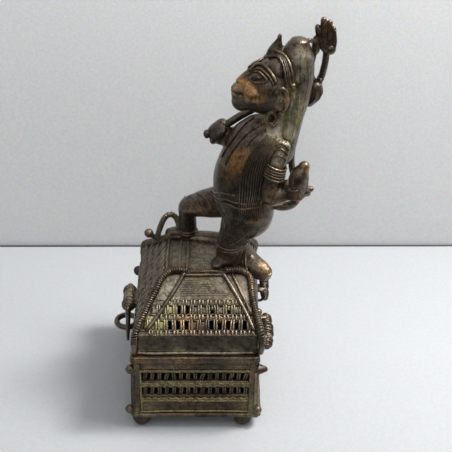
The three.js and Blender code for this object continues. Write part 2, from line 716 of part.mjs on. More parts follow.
const group = new THREE.Group();
group.add(finish('box', boxShape, shiftX, 0x4a4034, 0.5));
group.add(finish('lid_with_figure', castLid, shiftX, 0x4d4233, 0.45));
group.add(finish('hinge_pin_near', hingePin(-HINGE_Y), shiftX, 0x3f372d, 0.5));
group.add(finish('hinge_pin_far', hingePin(HINGE_Y), shiftX, 0x3f372d, 0.5));
group.add(finish('fastening_hook', hook, shiftX, 0x3a332b, 0.5));

export default group;
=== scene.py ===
import math
from functools import partial

import bpy
import numpy as np
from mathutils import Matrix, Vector, noise
from mathutils.bvhtree import BVHTree


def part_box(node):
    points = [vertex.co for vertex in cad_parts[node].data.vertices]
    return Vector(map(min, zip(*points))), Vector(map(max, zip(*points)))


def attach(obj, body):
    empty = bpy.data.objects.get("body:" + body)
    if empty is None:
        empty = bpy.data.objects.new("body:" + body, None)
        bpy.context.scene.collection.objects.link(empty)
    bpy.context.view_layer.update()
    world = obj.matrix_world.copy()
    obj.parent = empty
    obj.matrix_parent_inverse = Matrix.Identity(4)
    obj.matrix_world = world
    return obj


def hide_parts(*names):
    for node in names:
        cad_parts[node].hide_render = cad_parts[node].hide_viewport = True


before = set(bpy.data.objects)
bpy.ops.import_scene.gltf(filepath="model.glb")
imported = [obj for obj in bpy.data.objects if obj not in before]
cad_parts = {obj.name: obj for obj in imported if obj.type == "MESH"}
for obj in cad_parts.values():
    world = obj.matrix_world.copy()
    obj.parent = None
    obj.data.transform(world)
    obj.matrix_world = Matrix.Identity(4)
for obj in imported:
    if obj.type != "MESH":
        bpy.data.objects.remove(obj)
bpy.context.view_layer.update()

WAX_SEED = 3
noise.seed_set(WAX_SEED)


# The lower half of an old casket, cast in one piece of bronze by the lost-wax way: thin plates of wax with
# threads laid on them, pierced rows between the threads, ball feet, and knobs at the corners. Places are in
# millimetres from the middle of the box, and turn into metres of the frame when a piece is cast.
RIM_X, RIM_Y = 32.0, 42.0
BODY_X, BODY_Y = 30.6, 40.6
WALL = 2.6
FLARE = 1.0
BOX_TOP = 45.0
FLOOR_LOW, FLOOR_TOP = 6.4, 9.0
ROW_LOW, ROW_HIGH, ROW_TALL = 20.3, 28.9, 5.2
HINGE_X, HINGE_Z, HINGE_Y = 35.9, 45.2, 20.5
MM = 1000.0
pin_low, pin_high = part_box("hinge_pin_near")
MIDDLE = np.array([MM * (pin_low[0] + pin_high[0]) / 2 - HINGE_X, 0.0, 0.0])


def in_frame(place):
    """A place in millimetres as one in metres of the frame."""
    return tuple((np.asarray(place, float) + MIDDLE) / MM)


def line_through(points, step=0.6):
    """Close-set points on a smooth line through the given ones; further columns, such as radii, go along."""
    p = np.asarray(points, float)
    ends = np.vstack([2 * p[0] - p[1], p, 2 * p[-1] - p[-2]])
    rows = []
    for a, b, c, d in zip(ends, ends[1:], ends[2:], ends[3:]):
        count = max(2, int(round(np.linalg.norm((c - b)[:3]) / step)))
        t = np.linspace(0, 1, count, endpoint=False)[:, None]
        bend, twist = 2 * a - 5 * b + 4 * c - d, 3 * b - a - 3 * c + d
        rows.append(0.5 * (2 * b + (c - a) * t + bend * t**2 + twist * t**3))
    return np.vstack(rows + [p[-1:]])


def unit(vectors):
    """Each row at length one."""
    return vectors / (np.linalg.norm(vectors, axis=-1, keepdims=True) + 1e-12)


def tube_faces(rings, sides, inside=False, closed=False):
    """Faces from ring to ring of a tube, and unless it is closed onto two tips that come after the rings."""
    i, j = np.arange(rings if closed else rings - 1)[:, None], np.arange(sides)
    k, beside = (i + 1) % rings, (j + 1) % sides
    quads = np.stack([i * sides + j, i * sides + beside, k * sides + beside, k * sides + j], -1)
    faces = [quads.reshape(-1, 4)]
    if not closed:
        last = (rings - 1) * sides
        faces.append(np.stack([np.full(sides, rings * sides), beside, j], 1))
        faces.append(np.stack([np.full(sides, rings * sides + 1), last + j, last + beside], 1))
    return faces if inside else [face[:, ::-1] for face in faces]


def strand(path, radius, sides=7, out=None, flat=1.0, closed=False):
    """A thread or bar of wax along a path, round-ended; out gives the way its flat side faces."""
    path = np.asarray(path, float)[:, :3]
    n = len(path)
    radius = np.broadcast_to(np.asarray(radius, float), (n,))
    ahead = np.roll(path, -1, 0) - np.roll(path, 1, 0)
    if not closed:
        ahead[0], ahead[-1] = path[1] - path[0], path[-1] - path[-2]
    ahead = unit(ahead)
    if out is None:
        up = np.zeros((n, 3))
        first = np.cross(ahead[0], [0.3, 0.2, 1.0])
        if np.linalg.norm(first) < 0.1:
            first = np.cross(ahead[0], [1.0, 0, 0])
        for i in range(n):
            first = unit(first - ahead[i] * first.dot(ahead[i]))
            up[i] = first
    else:
        up = np.broadcast_to(np.asarray(out, float), (n, 3))
        up = unit(up - ahead * (up * ahead).sum(1)[:, None])
    side = np.cross(ahead, up)
    turn = 2 * math.pi * np.arange(sides)[None, :, None] / sides
    ring = side[:, None] * np.cos(turn) + up[:, None] * np.sin(turn) * flat
    verts = (path[:, None] + ring * radius[:, None, None]).reshape(-1, 3)
    if not closed:
        bulge = 0.6
        tips = [path[0] - ahead[0] * radius[0] * bulge, path[-1] + ahead[-1] * radius[-1] * bulge]
        verts = np.vstack([verts, tips])
    return verts, tube_faces(n, sides, closed=closed)


def drawn(points, step, radius, sides):
    """A thread of wax on a smooth line through a few points."""
    return strand(line_through(points, step), radius, sides)


def hoop(centre, one, other, radius, sides=5, count=24):
    """A closed ring of thread round a centre, through the tips of two half widths."""
    turn = 2 * math.pi * np.arange(count)[:, None] / count
    ring = np.asarray(centre) + np.cos(turn) * np.asarray(one) + np.sin(turn) * np.asarray(other)
    return strand(ring, radius, sides, closed=True)


def plate(a, b, c, d, thick, step=1.3, ease=0.35):
    """A slab of wax with corners a, b, c, d anticlockwise from outside, thickness inwards, eased edges."""
    a, b, c, d = (np.asarray(v, float) for v in (a, b, c, d))
    wide, tall = (max(2, int(np.linalg.norm(end - a) / step)) for end in (b, d))
    u = np.linspace(0, 1, wide + 1)[None, :, None]
    v = np.linspace(0, 1, tall + 1)[:, None, None]
    face = (a * (1 - u) + b * u) * (1 - v) + (d * (1 - u) + c * u) * v
    normal = unit(np.cross(b - a, d - a))
    inner = face - normal * thick
    border = np.ones((tall + 1, wide + 1, 1))
    border[1:-1, 1:-1] = 0
    face = face - border * normal * ease
    grid = np.arange(border.size).reshape(tall + 1, wide + 1)
    q = np.stack([grid[:-1, :-1], grid[:-1, 1:], grid[1:, 1:], grid[1:, :-1]], -1).reshape(-1, 4)
    edge = np.concatenate([grid[0, :], grid[1:, -1], grid[-1, -2::-1], grid[-2:0:-1, 0]])
    rim = np.stack([edge, edge + grid.size, np.roll(edge, -1) + grid.size, np.roll(edge, -1)], 1)
    return np.vstack([face.reshape(-1, 3), inner.reshape(-1, 3)]), [q, q[:, ::-1] + grid.size, rim]


def level_plate(left, right, near, far, top, thick, step=1.3):
    """A slab of wax that lies level."""
    return plate((left, near, top), (right, near, top), (right, far, top), (left, far, top), thick, step)


def round_blob(centre, radii, sides=24, rows=14):
    """A ball or egg of wax."""
    lat = np.linspace(0, math.pi, rows + 1)[1:-1, None]
    lon = 2 * math.pi * np.arange(sides) / sides
    ball = np.stack([np.sin(lat) * np.cos(lon), np.sin(lat) * np.sin(lon), np.cos(lat) + 0 * lon], -1)
    verts = np.vstack([ball.reshape(-1, 3), [[0, 0, 1], [0, 0, -1]]]) * np.asarray(radii, float)
    return verts + np.asarray(centre, float), tube_faces(rows - 1, sides)


def turned(profile, centre, axis="y", sides=24):
    """A turned piece from (radius, place along the axis) pairs that start and end on the axis."""
    profile = np.asarray(profile, float)
    turn = 2 * math.pi * np.arange(sides) / sides
    r, along = profile[1:-1, :1], profile[1:-1, 1:]
    body = np.stack([r * np.cos(turn), along + 0 * turn, r * np.sin(turn)], -1).reshape(-1, 3)
    verts = np.vstack([body, [[0, profile[0, 1], 0], [0, profile[-1, 1], 0]]])
    if axis == "z":
        verts = verts[:, [0, 2, 1]]
    return verts + np.asarray(centre, float), tube_faces(len(profile) - 2, sides, inside=axis == "z")


def hand_made(verts, much=0.16, size=9.0):
    """The unevenness of wax worked by hand, in a body already set in place."""
    return verts + np.array([noise.noise_vector(Vector(v / size)) for v in verts]) * much


def together(parts):
    """Several (points, faces) bodies as one."""
    verts, faces, start = [], [], 0
    for points, groups in parts:
        verts.append(points)
        faces += [np.asarray(group) + start for group in groups]
        start += len(points)
    return np.vstack(verts), faces


def flat_mesh(name, verts, faces):
    """A smooth-shaded mesh in metres of the frame from points in millimetres."""
    mesh = bpy.data.meshes.new(name)
    counts = np.concatenate([np.full(len(group), group.shape[1]) for group in faces])
    corners = np.concatenate([group.reshape(-1) for group in faces])
    mesh.vertices.add(len(verts))
    mesh.vertices.foreach_set("co", ((verts + MIDDLE) / MM).astype(np.float32).reshape(-1))
    mesh.loops.add(len(corners))
    mesh.loops.foreach_set("vertex_index", corners.astype(np.int32))
    mesh.polygons.add(len(counts))
    mesh.polygons.foreach_set("loop_start", (np.cumsum(counts) - counts).astype(np.int32))
    mesh.update(calc_edges=True)
    mesh.validate()
    mesh.polygons.foreach_set("use_smooth", np.ones(len(mesh.polygons), bool))
    mesh.update()
    return mesh


def rows_of(collection, field):
    """The vectors of a mesh's points or normals, a row each."""
    values = np.empty(len(collection) * 3, np.float32)
    collection.foreach_get(field, values)
    return values.reshape(-1, 3).astype(float)


def surface_of(body):
    """A body's skin, to measure to."""
    verts, groups = body
    faces = [tuple(face) for group in groups for face in group.tolist()]
    return BVHTree.FromPolygons([Vector(v) for v in verts], faces)


def hollows(mesh, neighbours, reach=5.0, rays=10):
    """Writes how shut in each point is, 0 on a bare crown and 1 deep in a crease, as the mesh's recess."""
    tree = surface_of(neighbours)
    places, normals = rows_of(mesh.vertices, "co") * MM - MIDDLE, rows_of(mesh.vertex_normals, "vector")
    k = np.arange(rays) + 0.5
    lift = np.sqrt(1 - k / rays)
    turn = math.pi * (1 + math.sqrt(5)) * k
    fan = np.stack([np.sqrt(1 - lift**2) * np.cos(turn), np.sqrt(1 - lift**2) * np.sin(turn), lift], 1)
    side = unit(np.cross(normals, np.where(np.abs(normals[:, :1]) < 0.8, [[1.0, 0, 0]], [[0, 1.0, 0]])))
    other = np.cross(normals, side)
    starts = (places + normals * 0.05).tolist()
    shut = np.zeros(len(places))
    for a, b, c in fan:
        ways = side * a + other * b + normals * c
        for i, (start, way) in enumerate(zip(starts, ways.tolist())):
            far = tree.ray_cast(start, way, reach)[3]
            if far is not None:
                shut[i] += 1 - far / reach
    layer = mesh.attributes.new("recess", "FLOAT", "POINT")
    layer.data.foreach_set("value", np.clip(shut / rays * 1.6, 0, 1).astype(np.float32))


def plug(tree, sockets, values):
    """Gives sockets their values, each a plain one, another node's output or a list of outputs."""
    for key, value in values.items():
        for each in value if isinstance(value, list) else [value]:
            if isinstance(each, bpy.types.NodeSocket):
                tree.links.new(each, sockets[key])
            else:
                sockets[key].default_value = each


def added(tree, kind, out=0, values={}, **settings):
    """The output of a new node that has these settings and values; the node itself where out is None."""
    node = tree.nodes.new(kind)
    for name, value in settings.items():
        setattr(node, name, value)
    plug(tree, node.inputs, values)
    return node if out is None else node.outputs[out]


def group_of(name, kind, inputs, outputs):
    """A node group from (name, type, value) rows: its tree, what comes in and what leaves."""
    tree = bpy.data.node_groups.new(name, kind)
    for way, rows in (("INPUT", inputs), ("OUTPUT", outputs)):
        for title, sort, *value in rows:
            socket = tree.interface.new_socket(title, in_out=way, socket_type="NodeSocket" + sort)
            if value:
                socket.default_value = value[0]
    return tree, tree.nodes.new("NodeGroupInput").outputs, tree.nodes.new("NodeGroupOutput").inputs


def calc(tree, kind, *values, node="ShaderNodeMath"):
    """A sum of values in a node tree."""
    return added(tree, node, 0, dict(enumerate(values)), operation=kind)


def aged_bronze():
    """Old bronze as a shader group: brown skin, rubbed metal, green and dust in the hollows, fine grain;
    painted shade deep in the hollows and mostly in the dark spots, a lighter tone on bare crowns that is
    partly wear and partly painted highlight, and the dust also a painted sheen where it is set for that.
    """
    tree, come, leave = group_of("aged bronze", "ShaderNodeTree", [
        ("Recess", "Float", 0.0), ("Rubbed", "Float", 0.0), ("Green", "Float", 0.3), ("Dust", "Float", 0.0),
        ("Ruddy", "Float", 0.3), ("Dark", "Float", 0.0), ("Place", "Vector"),
    ], [("Color", "Color")] + [(title, "Float") for title in ("Metallic", "Roughness", "Wax", "Height")])
    sum_of = partial(calc, tree)

    def cloud(scale, detail, rough=0.55, twist=0.0, place=come["Place"]):
        """A noise over the piece."""
        levels = {"Vector": place, "Scale": scale, "Detail": detail, "Roughness": rough, "Distortion": twist}
        return added(tree, "ShaderNodeTexNoise", "Fac", levels)

    def ramp(value, low, high, to_low=0.0, to_high=1.0):
        """A soft step of a value from one level to another."""
        levels = {"Value": value, 1: low, 2: high, 3: to_low, 4: to_high}
        return added(tree, "ShaderNodeMapRange", "Result", levels, interpolation_type="SMOOTHSTEP")

    def over(share, under, colour):
        """A share of a colour over what is under it."""
        levels = {"Factor": share, "A": under, "B": (*colour, 1)}
        return added(tree, "ShaderNodeMix", "Result", levels, data_type="RGBA")

    drawn_out = calc(tree, "MULTIPLY", come["Place"], (1.0, 1.0, 0.16), node="ShaderNodeVectorMath")
    patches, mottle = cloud(70, 4), cloud(360, 6, 0.7)
    grain, scraped = cloud(1300, 4, 0.75), cloud(900, 3, 0.6, 0.3, drawn_out)
    recess = come["Recess"]
    bare = ramp(recess, 0.1, 0.5, 1.0, 0.0)
    uneven = sum_of("ADD", mottle, grain)
    skin = over(ramp(mottle, 0.3, 0.7), (0.022, 0.016, 0.011, 1), (0.086, 0.062, 0.041))
    skin = over(sum_of("MULTIPLY", ramp(patches, 0.42, 0.62), come["Ruddy"]), skin, (0.105, 0.052, 0.028))
    # lighter bare crowns: partly edge wear, partly a painted highlight on the proud threads
    skin = over(sum_of("MULTIPLY", bare, ramp(uneven, 0.85, 1.15, 0.0, 0.6)), skin, (0.160, 0.125, 0.085))
    worn = sum_of("MULTIPLY", come["Rubbed"], sum_of("MULTIPLY", bare, ramp(uneven, 0.82, 1.14, 0.14, 1.0)))
    skin = over(worn, skin, (0.500, 0.245, 0.075))
    damp = sum_of("MULTIPLY_ADD", come["Green"], 0.5, sum_of("MULTIPLY_ADD", mottle, 0.55, -0.3))
    specks = sum_of("MULTIPLY", ramp(grain, 0.40, 0.58, 0.15, 1.0), come["Green"])
    crust = sum_of("MULTIPLY", ramp(sum_of("ADD", recess, damp), 0.35, 0.72), specks)
    skin = over(crust, skin, (0.340, 0.305, 0.088))
    # painted shade: near-black deep in the creases, by how shut in each point is
    deep = sum_of("MULTIPLY", ramp(recess, 0.4, 0.95), 0.75)
    skin = over(deep, skin, (0.012, 0.010, 0.008))
    # dust, which on the figure's cap and upper arm stands for a painted sheen
    dust_and_sheen = sum_of("MULTIPLY", ramp(sum_of("ADD", mottle, scraped), 0.8, 1.15, 0.3, 1.0), come["Dust"])
    skin = over(dust_and_sheen, skin, (0.460, 0.415, 0.295))
    # the dark spots: mostly painted shade on faces turned from the lamps and under things, partly a darker
    # tone
    painted_shade_and_dark_tone = sum_of("MULTIPLY", come["Dark"], ramp(mottle, 0.3, 0.6, 1.0, 0.6))
    skin = over(painted_shade_and_dark_tone, skin, (0.017, 0.0135, 0.011))
    dull = sum_of("MAXIMUM", dust_and_sheen, sum_of("MULTIPLY", crust, 0.8))
    dull = sum_of("MAXIMUM", dull, sum_of("MULTIPLY", deep, 0.6))
    waxed = sum_of("MULTIPLY_ADD", come["Dark"], -0.3, sum_of("MULTIPLY_ADD", scraped, 0.5, 0.08))
    gloss = sum_of("MULTIPLY_ADD", come["Dark"], 0.16, sum_of("MULTIPLY_ADD", scraped, 0.34, 0.14))
    gloss = sum_of("MULTIPLY_ADD", worn, -0.06, gloss)
    height = sum_of("MULTIPLY_ADD", grain, 0.3, sum_of("MULTIPLY", mottle, 0.8))
    plug(tree, leave, {
        "Color": skin, "Metallic": sum_of("MULTIPLY_ADD", dull, -0.65, 0.82),
        "Wax": sum_of("MAXIMUM", sum_of("MULTIPLY_ADD", dull, -0.65, waxed), 0.0),
        "Roughness": sum_of("MULTIPLY_ADD", dull, 0.30, gloss),
        "Height": sum_of("MULTIPLY_ADD", scraped, 0.5, height),
    })
    return tree


bronze = aged_bronze()


def bronze_finish(name, green=0.3, dust=0.0, rubbed=0.0, ruddy=0.3, spots=(), green_spots=(), dust_and_sheen_spots=(),
                  dark_spots=(), bump=0.5, coat=0.22):
    """A material of the aged bronze, with rubbed, green, dusty or dark spots (x, y, z, reach, strength); a
    dust spot may be a painted sheen and a dark spot painted shade.
    """
    material = bpy.data.materials.new(name)
    material.use_nodes = True
    tree = material.node_tree
    place = added(tree, "ShaderNodeTexCoord", "Object")
    recess = added(tree, "ShaderNodeAttribute", "Fac", attribute_name="recess")
    levels = {"Place": place, "Recess": recess, "Ruddy": ruddy}
    for socket, always, marks in (
        ("Rubbed", rubbed, spots), ("Green", green, green_spots), ("Dust", dust, dust_and_sheen_spots),
        ("Dark", 0.0, dark_spots),
    ):
        levels[socket] = always
        for k, (x, y, z, reach, strength) in enumerate(marks):
            ends = {0: place, 1: in_frame((x, y, z))}
            away = added(tree, "ShaderNodeVectorMath", "Value", ends, operation="DISTANCE")
            fade = {"Value": away, 1: reach / MM / 2.5, 2: reach / MM, 3: strength, 4: always}
            near = added(tree, "ShaderNodeMapRange", "Result", fade, interpolation_type="SMOOTHSTEP")
            levels[socket] = calc(tree, "MAXIMUM", levels[socket], near) if k else near
    look = added(tree, "ShaderNodeGroup", None, levels, node_tree=bronze).outputs
    uneven = {"Height": look["Height"], "Strength": bump, "Distance": 0.0006}
    rise = added(tree, "ShaderNodeBump", "Normal", uneven)
    plug(tree, tree.nodes["Principled BSDF"].inputs, {
        "Base Color": look["Color"], "Metallic": look["Metallic"], "Roughness": look["Roughness"],
        "Normal": rise, "Coat Weight": look["Wax"], "Coat Roughness": coat, "Coat Normal": rise,
    })
    return material


def cast(name, parts, material, body, wobble=0.12, creases=()):
    """Sets a piece in the scene, riding on a body of the frame; creases are bodies whose nearness darkens its
    hollows with painted shade and lets green gather there.
    """
    verts, faces = together(parts)
    verts = hand_made(verts, wobble)
    mesh = flat_mesh(name, verts, faces)
    hollows(mesh, together([(verts, faces)] + list(creases)))
    piece = bpy.data.objects.new(name, mesh)
    bpy.context.scene.collection.objects.link(piece)
    mesh.materials.append(material)
    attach(piece, body)
    return piece


def wall_spot(side, along, z, out=0.0):
    """A place on a leaning wall of the box: side 0 near end, 1 hinge side, 2 far end, 3 fastening side."""
    out = out + FLARE * (BOX_TOP - z) / (BOX_TOP - FLOOR_LOW)
    x, y = BODY_X + out, BODY_Y + out
    return np.array([*((along, -y), (x, along), (-along, y), (-x, -along))[side], z])


def wall_plate(side, first, last, low, high):
    """A piece of one wall of the box."""
    corners = ((first, low), (last, low), (last, high), (first, high))
    return plate(*(wall_spot(side, along, z) for along, z in corners), WALL)


def wall_thread(side, reach, z, out, radius, sides=8, rise=0.0):
    """A thread across one wall, a little higher in the middle."""
    places = ((-reach, z, out), (0, z + rise, out), (reach, z, out))
    return drawn([wall_spot(side, *place) for place in places], 2.0, radius, sides)


box_threads = []
box_parts = [level_plate(-BODY_X, BODY_X, -BODY_Y, BODY_Y, FLOOR_TOP, FLOOR_TOP - FLOOR_LOW)]
for side in range(4):
    half, reach = (BODY_X, RIM_X) if side % 2 == 0 else (BODY_Y, RIM_Y)
    solid = 3.2 if side == 0 else 6.5
    lows, highs = (FLOOR_LOW, ROW_LOW + ROW_TALL, ROW_HIGH + ROW_TALL), (ROW_LOW, ROW_HIGH, BOX_TOP - 0.4)
    for low, high in zip(lows, highs):
        box_parts.append(wall_plate(side, -half, half, low, high))
    for low in (ROW_LOW, ROW_HIGH):
        for first, last in ((-half, solid - half), (half - solid, half)):
            box_parts.append(wall_plate(side, first, last, low, low + ROW_TALL))
    # the thick rim, the foot band, and the threads that frame the pierced rows
    for z, radius, out in ((43.3, 1.55, 0.25), (42.2, 0.8, 1.0), (44.3, 0.75, 0.85)):
        box_parts.append(wall_thread(side, reach - 0.6, z, out, radius))
    box_parts.append(wall_thread(side, reach - 0.5, 7.5, 0.3, 1.35, 8, 0.4))
    box_threads.append(wall_thread(side, reach - 2.5, 9.6, 0.1, 0.6, 6, 0.5))
    inset = half - 3.0
    along = np.arange(-inset, inset + 0.1, 0.8)
    for z, out, wave, late, radius in (
        (35.7, 0.25, 0.12, 0, 0.75), (27.9, 0.35, 0.42, 0, 0.66), (26.6, 0.35, 0.42, 0.7, 0.66),
        (18.2, 0.35, 0.42, 0, 0.66), (16.9, 0.1, 0.1, 0, 0.75),
    ):
        wiggle = wave * np.sin(along * 1.75 + late)
        box_threads.append(strand([wall_spot(side, s, z + w, out) for s, w in zip(along, wiggle)], radius, 6))
    for s in (-inset, inset):
        box_threads.append(drawn([wall_spot(side, s, z, 0.2) for z in (10.5, 22, 36)], 1.5, 0.7, 6))
    for low, high, gap, slow, out in ((37.4, 41.4, 0.95, 0.3, -0.12), (11.2, 16.3, 1.0, 0.27, -0.2)):
        alongs = np.arange(-inset, inset + 0.1, 1.5)
        for z in np.arange(low, high, gap):
            places = [(s, z + 0.12 * math.sin(s * slow + z), out) for s in alongs]
            box_parts.append(strand([wall_spot(side, *place) for place in places], 0.36, 5))

# at each corner a ribbed post, two knobs wound with a thread, and a ball foot; the near corner of the hinge
# side has plain knobs
knob_parts = []
down = np.linspace(1, 0, 24)[:, None]
wind = np.linspace(0, 1, 26)
for sx, sy in ((-1, -1), (1, -1), (1, 1), (-1, 1)):
    bare_corner = (sx, sy) == (1, -1)
    lean = (-1.2 if bare_corner else FLARE, FLARE, 3.6 + FLOOR_LOW - BOX_TOP)
    top = (RIM_X - 2.6, RIM_Y - 2.6, BOX_TOP - 3.3)
    column = (np.array(top) + down * lean) * (sx, sy, 1)
    box_parts.append(strand(column, 2.35, 14))
    for turn in (0.15, 1.2, 2.2, -0.9):
        rib = column + np.array([math.cos(turn) * sx, math.sin(turn) * sy, 0]) * 2.25
        box_parts.append(strand(rib, 0.55, 5))
    for z, out, inward, size in ((10.6, FLARE, 1.2, 1.0), (36.8, 0.0, 1.2, 1.0)):
        if bare_corner:
            out, inward = (1.0, 1.2) if z > 20 else (-1.3, 0.6)
        elif (sx, sy) == (-1, 1) and z > 20:
            size, z, out = 1.15, 39.4, 0.5
        centre = np.array([sx * (RIM_X + 0.6 + out), sy * (RIM_Y - inward), z])
        if bare_corner and z > 20:
            stub = [centre + (x, 0, 0) for x in (-2.4, -1.6, -0.4, 1.0, 2.2)]
            knob_parts.append(strand(stub, [2.9, 2.8, 2.3, 1.7, 1.3], 16))
        else:
            knob_parts.append(round_blob(centre, (2.45 * size, 2.3 * size, 2.5 * size), 18, 12))
        if not bare_corner:
            wide = 2.15 * (1 - 0.75 * wind)
            coil = np.stack([sx * (0.4 + 1.7 * wind), wide * np.cos(9 * wind), wide * np.sin(9 * wind)], 1)
            knob_parts.append(strand(centre + coil, 0.5, 5))
    foot_x = sx * (RIM_X - 5.6) - ((1.5 if sx < 0 else 2.4) if sy < 0 else 0)
    foot_y = sy * (RIM_Y - 3.2)
    knob_parts.append(round_blob((foot_x, foot_y, 4.25), (4.75, 4.6, 4.25), 26, 16))
    neck = [(0, 4), (3.2, 4.2), (3.6, 5.6), (2.9, 7.4), (0, 7.6)]
    knob_parts.append(turned(neck, (foot_x, foot_y, 0), "z", 22))

box_line = bronze_finish("box thread bronze", green=0.85, rubbed=0.15, ruddy=0.3)
box_green = bronze_finish(
    "box bronze", green=0.16, ruddy=0.35,
    dark_spots=[(-8, -42, 13.5, 14, 0.8), (8, -42, 13.5, 18, 0.9), (8, -42, 39.5, 14, 0.5),
                (-32, -42, 25, 17, 0.7), (31, -41, 26, 8, 0.4)],
    spots=[(-29, -42, 43, 7, 0.25), (29, -43, 32, 8, 0.25), (-4, -43, 43.5, 12, 0.25),
           (0, -43, 7.5, 20, 0.2), (-22, -43, 36, 9, 0.2)],
    green_spots=[(33, -38, 14, 14, 0.75), (33.5, -40, 26, 7, 0.7), (33.5, -40, 36, 6, 0.6),
                 (0, -43, 8, 14, 0.4), (-26, -42, 26, 10, 0.6), (20, -42, 38, 12, 0.45),
                 (-28, -42, 12, 8, 0.6)],
)
knob_brown = bronze_finish(
    "knob bronze", green=0.15, rubbed=0.02, ruddy=0.6, green_spots=[(32, -42, 10.6, 5, 0.85)],
    dark_spots=[(-28, -39, 2, 11, 0.9), (24, -39, 2, 11, 0.9), (-34, 41, 39, 6, 0.7), (35, -42, 38, 6, 0.8)],
)


def bar_row():
    """Geometry nodes that set pairs of upright threads side by side along a line, each a little askew."""
    tree, come, leave = group_of("row of thread pairs", "GeometryNodeTree", [
        ("Geometry", "Geometry"), ("Start", "Vector"), ("Pitch", "Vector"), ("Count", "Int", 10),
        ("Height", "Float", 0.0052), ("Thread", "Float", 0.0005), ("Askew", "Float", 0.1), ("Seed", "Int", 3),
        ("Axis", "Vector"), ("Bronze", "Material"),
    ], [("Geometry", "Geometry")])
    node = partial(added, tree)

    def moved(shape, **shares):
        """A shape moved by shares of the thread's radius."""
        shift = {key: calc(tree, "MULTIPLY", come["Thread"], share) for key, share in shares.items()}
        way = node("ShaderNodeCombineXYZ", 0, shift)
        return node("GeometryNodeTransform", 0, {"Geometry": shape, "Translation": way})

    line = node("GeometryNodeMeshLine", 0, {
        "Count": come["Count"], "Start Location": come["Start"], "Offset": come["Pitch"],
    })
    post = node("GeometryNodeMeshCylinder", "Mesh", {
        "Vertices": 8, "Side Segments": 4, "Radius": come["Thread"],
        "Depth": calc(tree, "MULTIPLY", come["Height"], 1.16),
    })
    size = node("ShaderNodeCombineXYZ", 0, {
        "X": calc(tree, "MULTIPLY", come["Thread"], 3.3), "Y": calc(tree, "MULTIPLY", come["Thread"], 1.8),
        "Z": calc(tree, "MULTIPLY", come["Height"], 1.1),
    })
    behind = moved(node("GeometryNodeMeshCube", "Mesh", {"Size": size}), Y=1.2)
    shapes = [moved(post, X=-0.95), moved(post, X=0.95), behind]
    pair = node("GeometryNodeJoinGeometry", 0, {"Geometry": shapes})
    limits = {2: calc(tree, "MULTIPLY", come["Askew"], -0.25), 3: come["Askew"], "Seed": come["Seed"]}
    lean = node("FunctionNodeRandomValue", 1, limits, data_type="FLOAT")
    tilt = node("FunctionNodeEulerToRotation", 0, {0: node("ShaderNodeCombineXYZ", 0, {"Y": lean})})
    turn = node("FunctionNodeEulerToRotation", 0, {0: come["Axis"]})
    both = node("FunctionNodeRotateRotation", 0, {0: tilt, 1: turn}, rotation_space="GLOBAL")
    spread = node("GeometryNodeInstanceOnPoints", 0, {"Points": line, "Instance": pair, "Rotation": both})
    real = node("GeometryNodeRealizeInstances", 0, {"Geometry": spread})
    leaving = node("GeometryNodeSetMaterial", 0, {"Geometry": real, "Material": come["Bronze"]})
    plug(tree, leave, {"Geometry": leaving})
    return tree


def body_of(shaped):
    """A finished object's mesh as points in millimetres and faces, in groups of as many corners."""
    mesh = bpy.data.meshes.new_from_object(shaped.evaluated_get(bpy.context.evaluated_depsgraph_get()))
    verts = rows_of(mesh.vertices, "co") * MM - MIDDLE
    groups = {}
    for polygon in mesh.polygons:
        groups.setdefault(len(polygon.vertices), []).append(tuple(polygon.vertices))
    bpy.data.objects.remove(shaped)
    bpy.data.meshes.remove(mesh)
    return verts, [np.array(group) for group in groups.values()]


def grown(name, tree, values, source=None):
    """What a geometry tree with named inputs makes, as a body."""
    carrier = bpy.data.objects.new(name, source or bpy.data.meshes.new(name))
    bpy.context.scene.collection.objects.link(carrier)
    modifier = carrier.modifiers.new(name, "NODES")
    modifier.node_group = tree
    for item in tree.interface.items_tree:
        if item.in_out == "INPUT" and item.name in values:
            modifier[item.identifier] = values[item.name]
    return body_of(carrier)


def split_faces(body):
    """A body with its faces of more than four corners as fans of triangles."""
    verts, groups = body
    whole = []
    for group in groups:
        if group.shape[1] <= 4:
            whole.append(group)
        else:
            whole += [group[:, [0, k, k + 1]] for k in range(1, group.shape[1] - 1)]
    return verts, whole


thread_pairs = bar_row()
for side, count in enumerate((14, 10, 7, 10)):
    half = BODY_X if side % 2 == 0 else BODY_Y
    pitch = 3.62 if side == 0 else (2 * half - 14) / count
    for row, low in enumerate((ROW_LOW, ROW_HIGH)):
        ahead = wall_spot(side, 1, low) - wall_spot(side, 0, low)
        start = wall_spot(side, -pitch * count / 2, low + ROW_TALL / 2, -0.75 - 0.3 * row)
        box_parts.append(split_faces(grown("box threads", thread_pairs, {
            "Start": in_frame(start), "Pitch": tuple(ahead * pitch / MM), "Count": count + 1,
            "Height": ROW_TALL / MM, "Thread": 0.00056 if side == 0 else 0.0012,
            "Askew": 0.34 if row else 0.12, "Seed": 5 + 2 * side + row,
            "Axis": (0.0, 0.0, side * math.pi / 2),
        })))

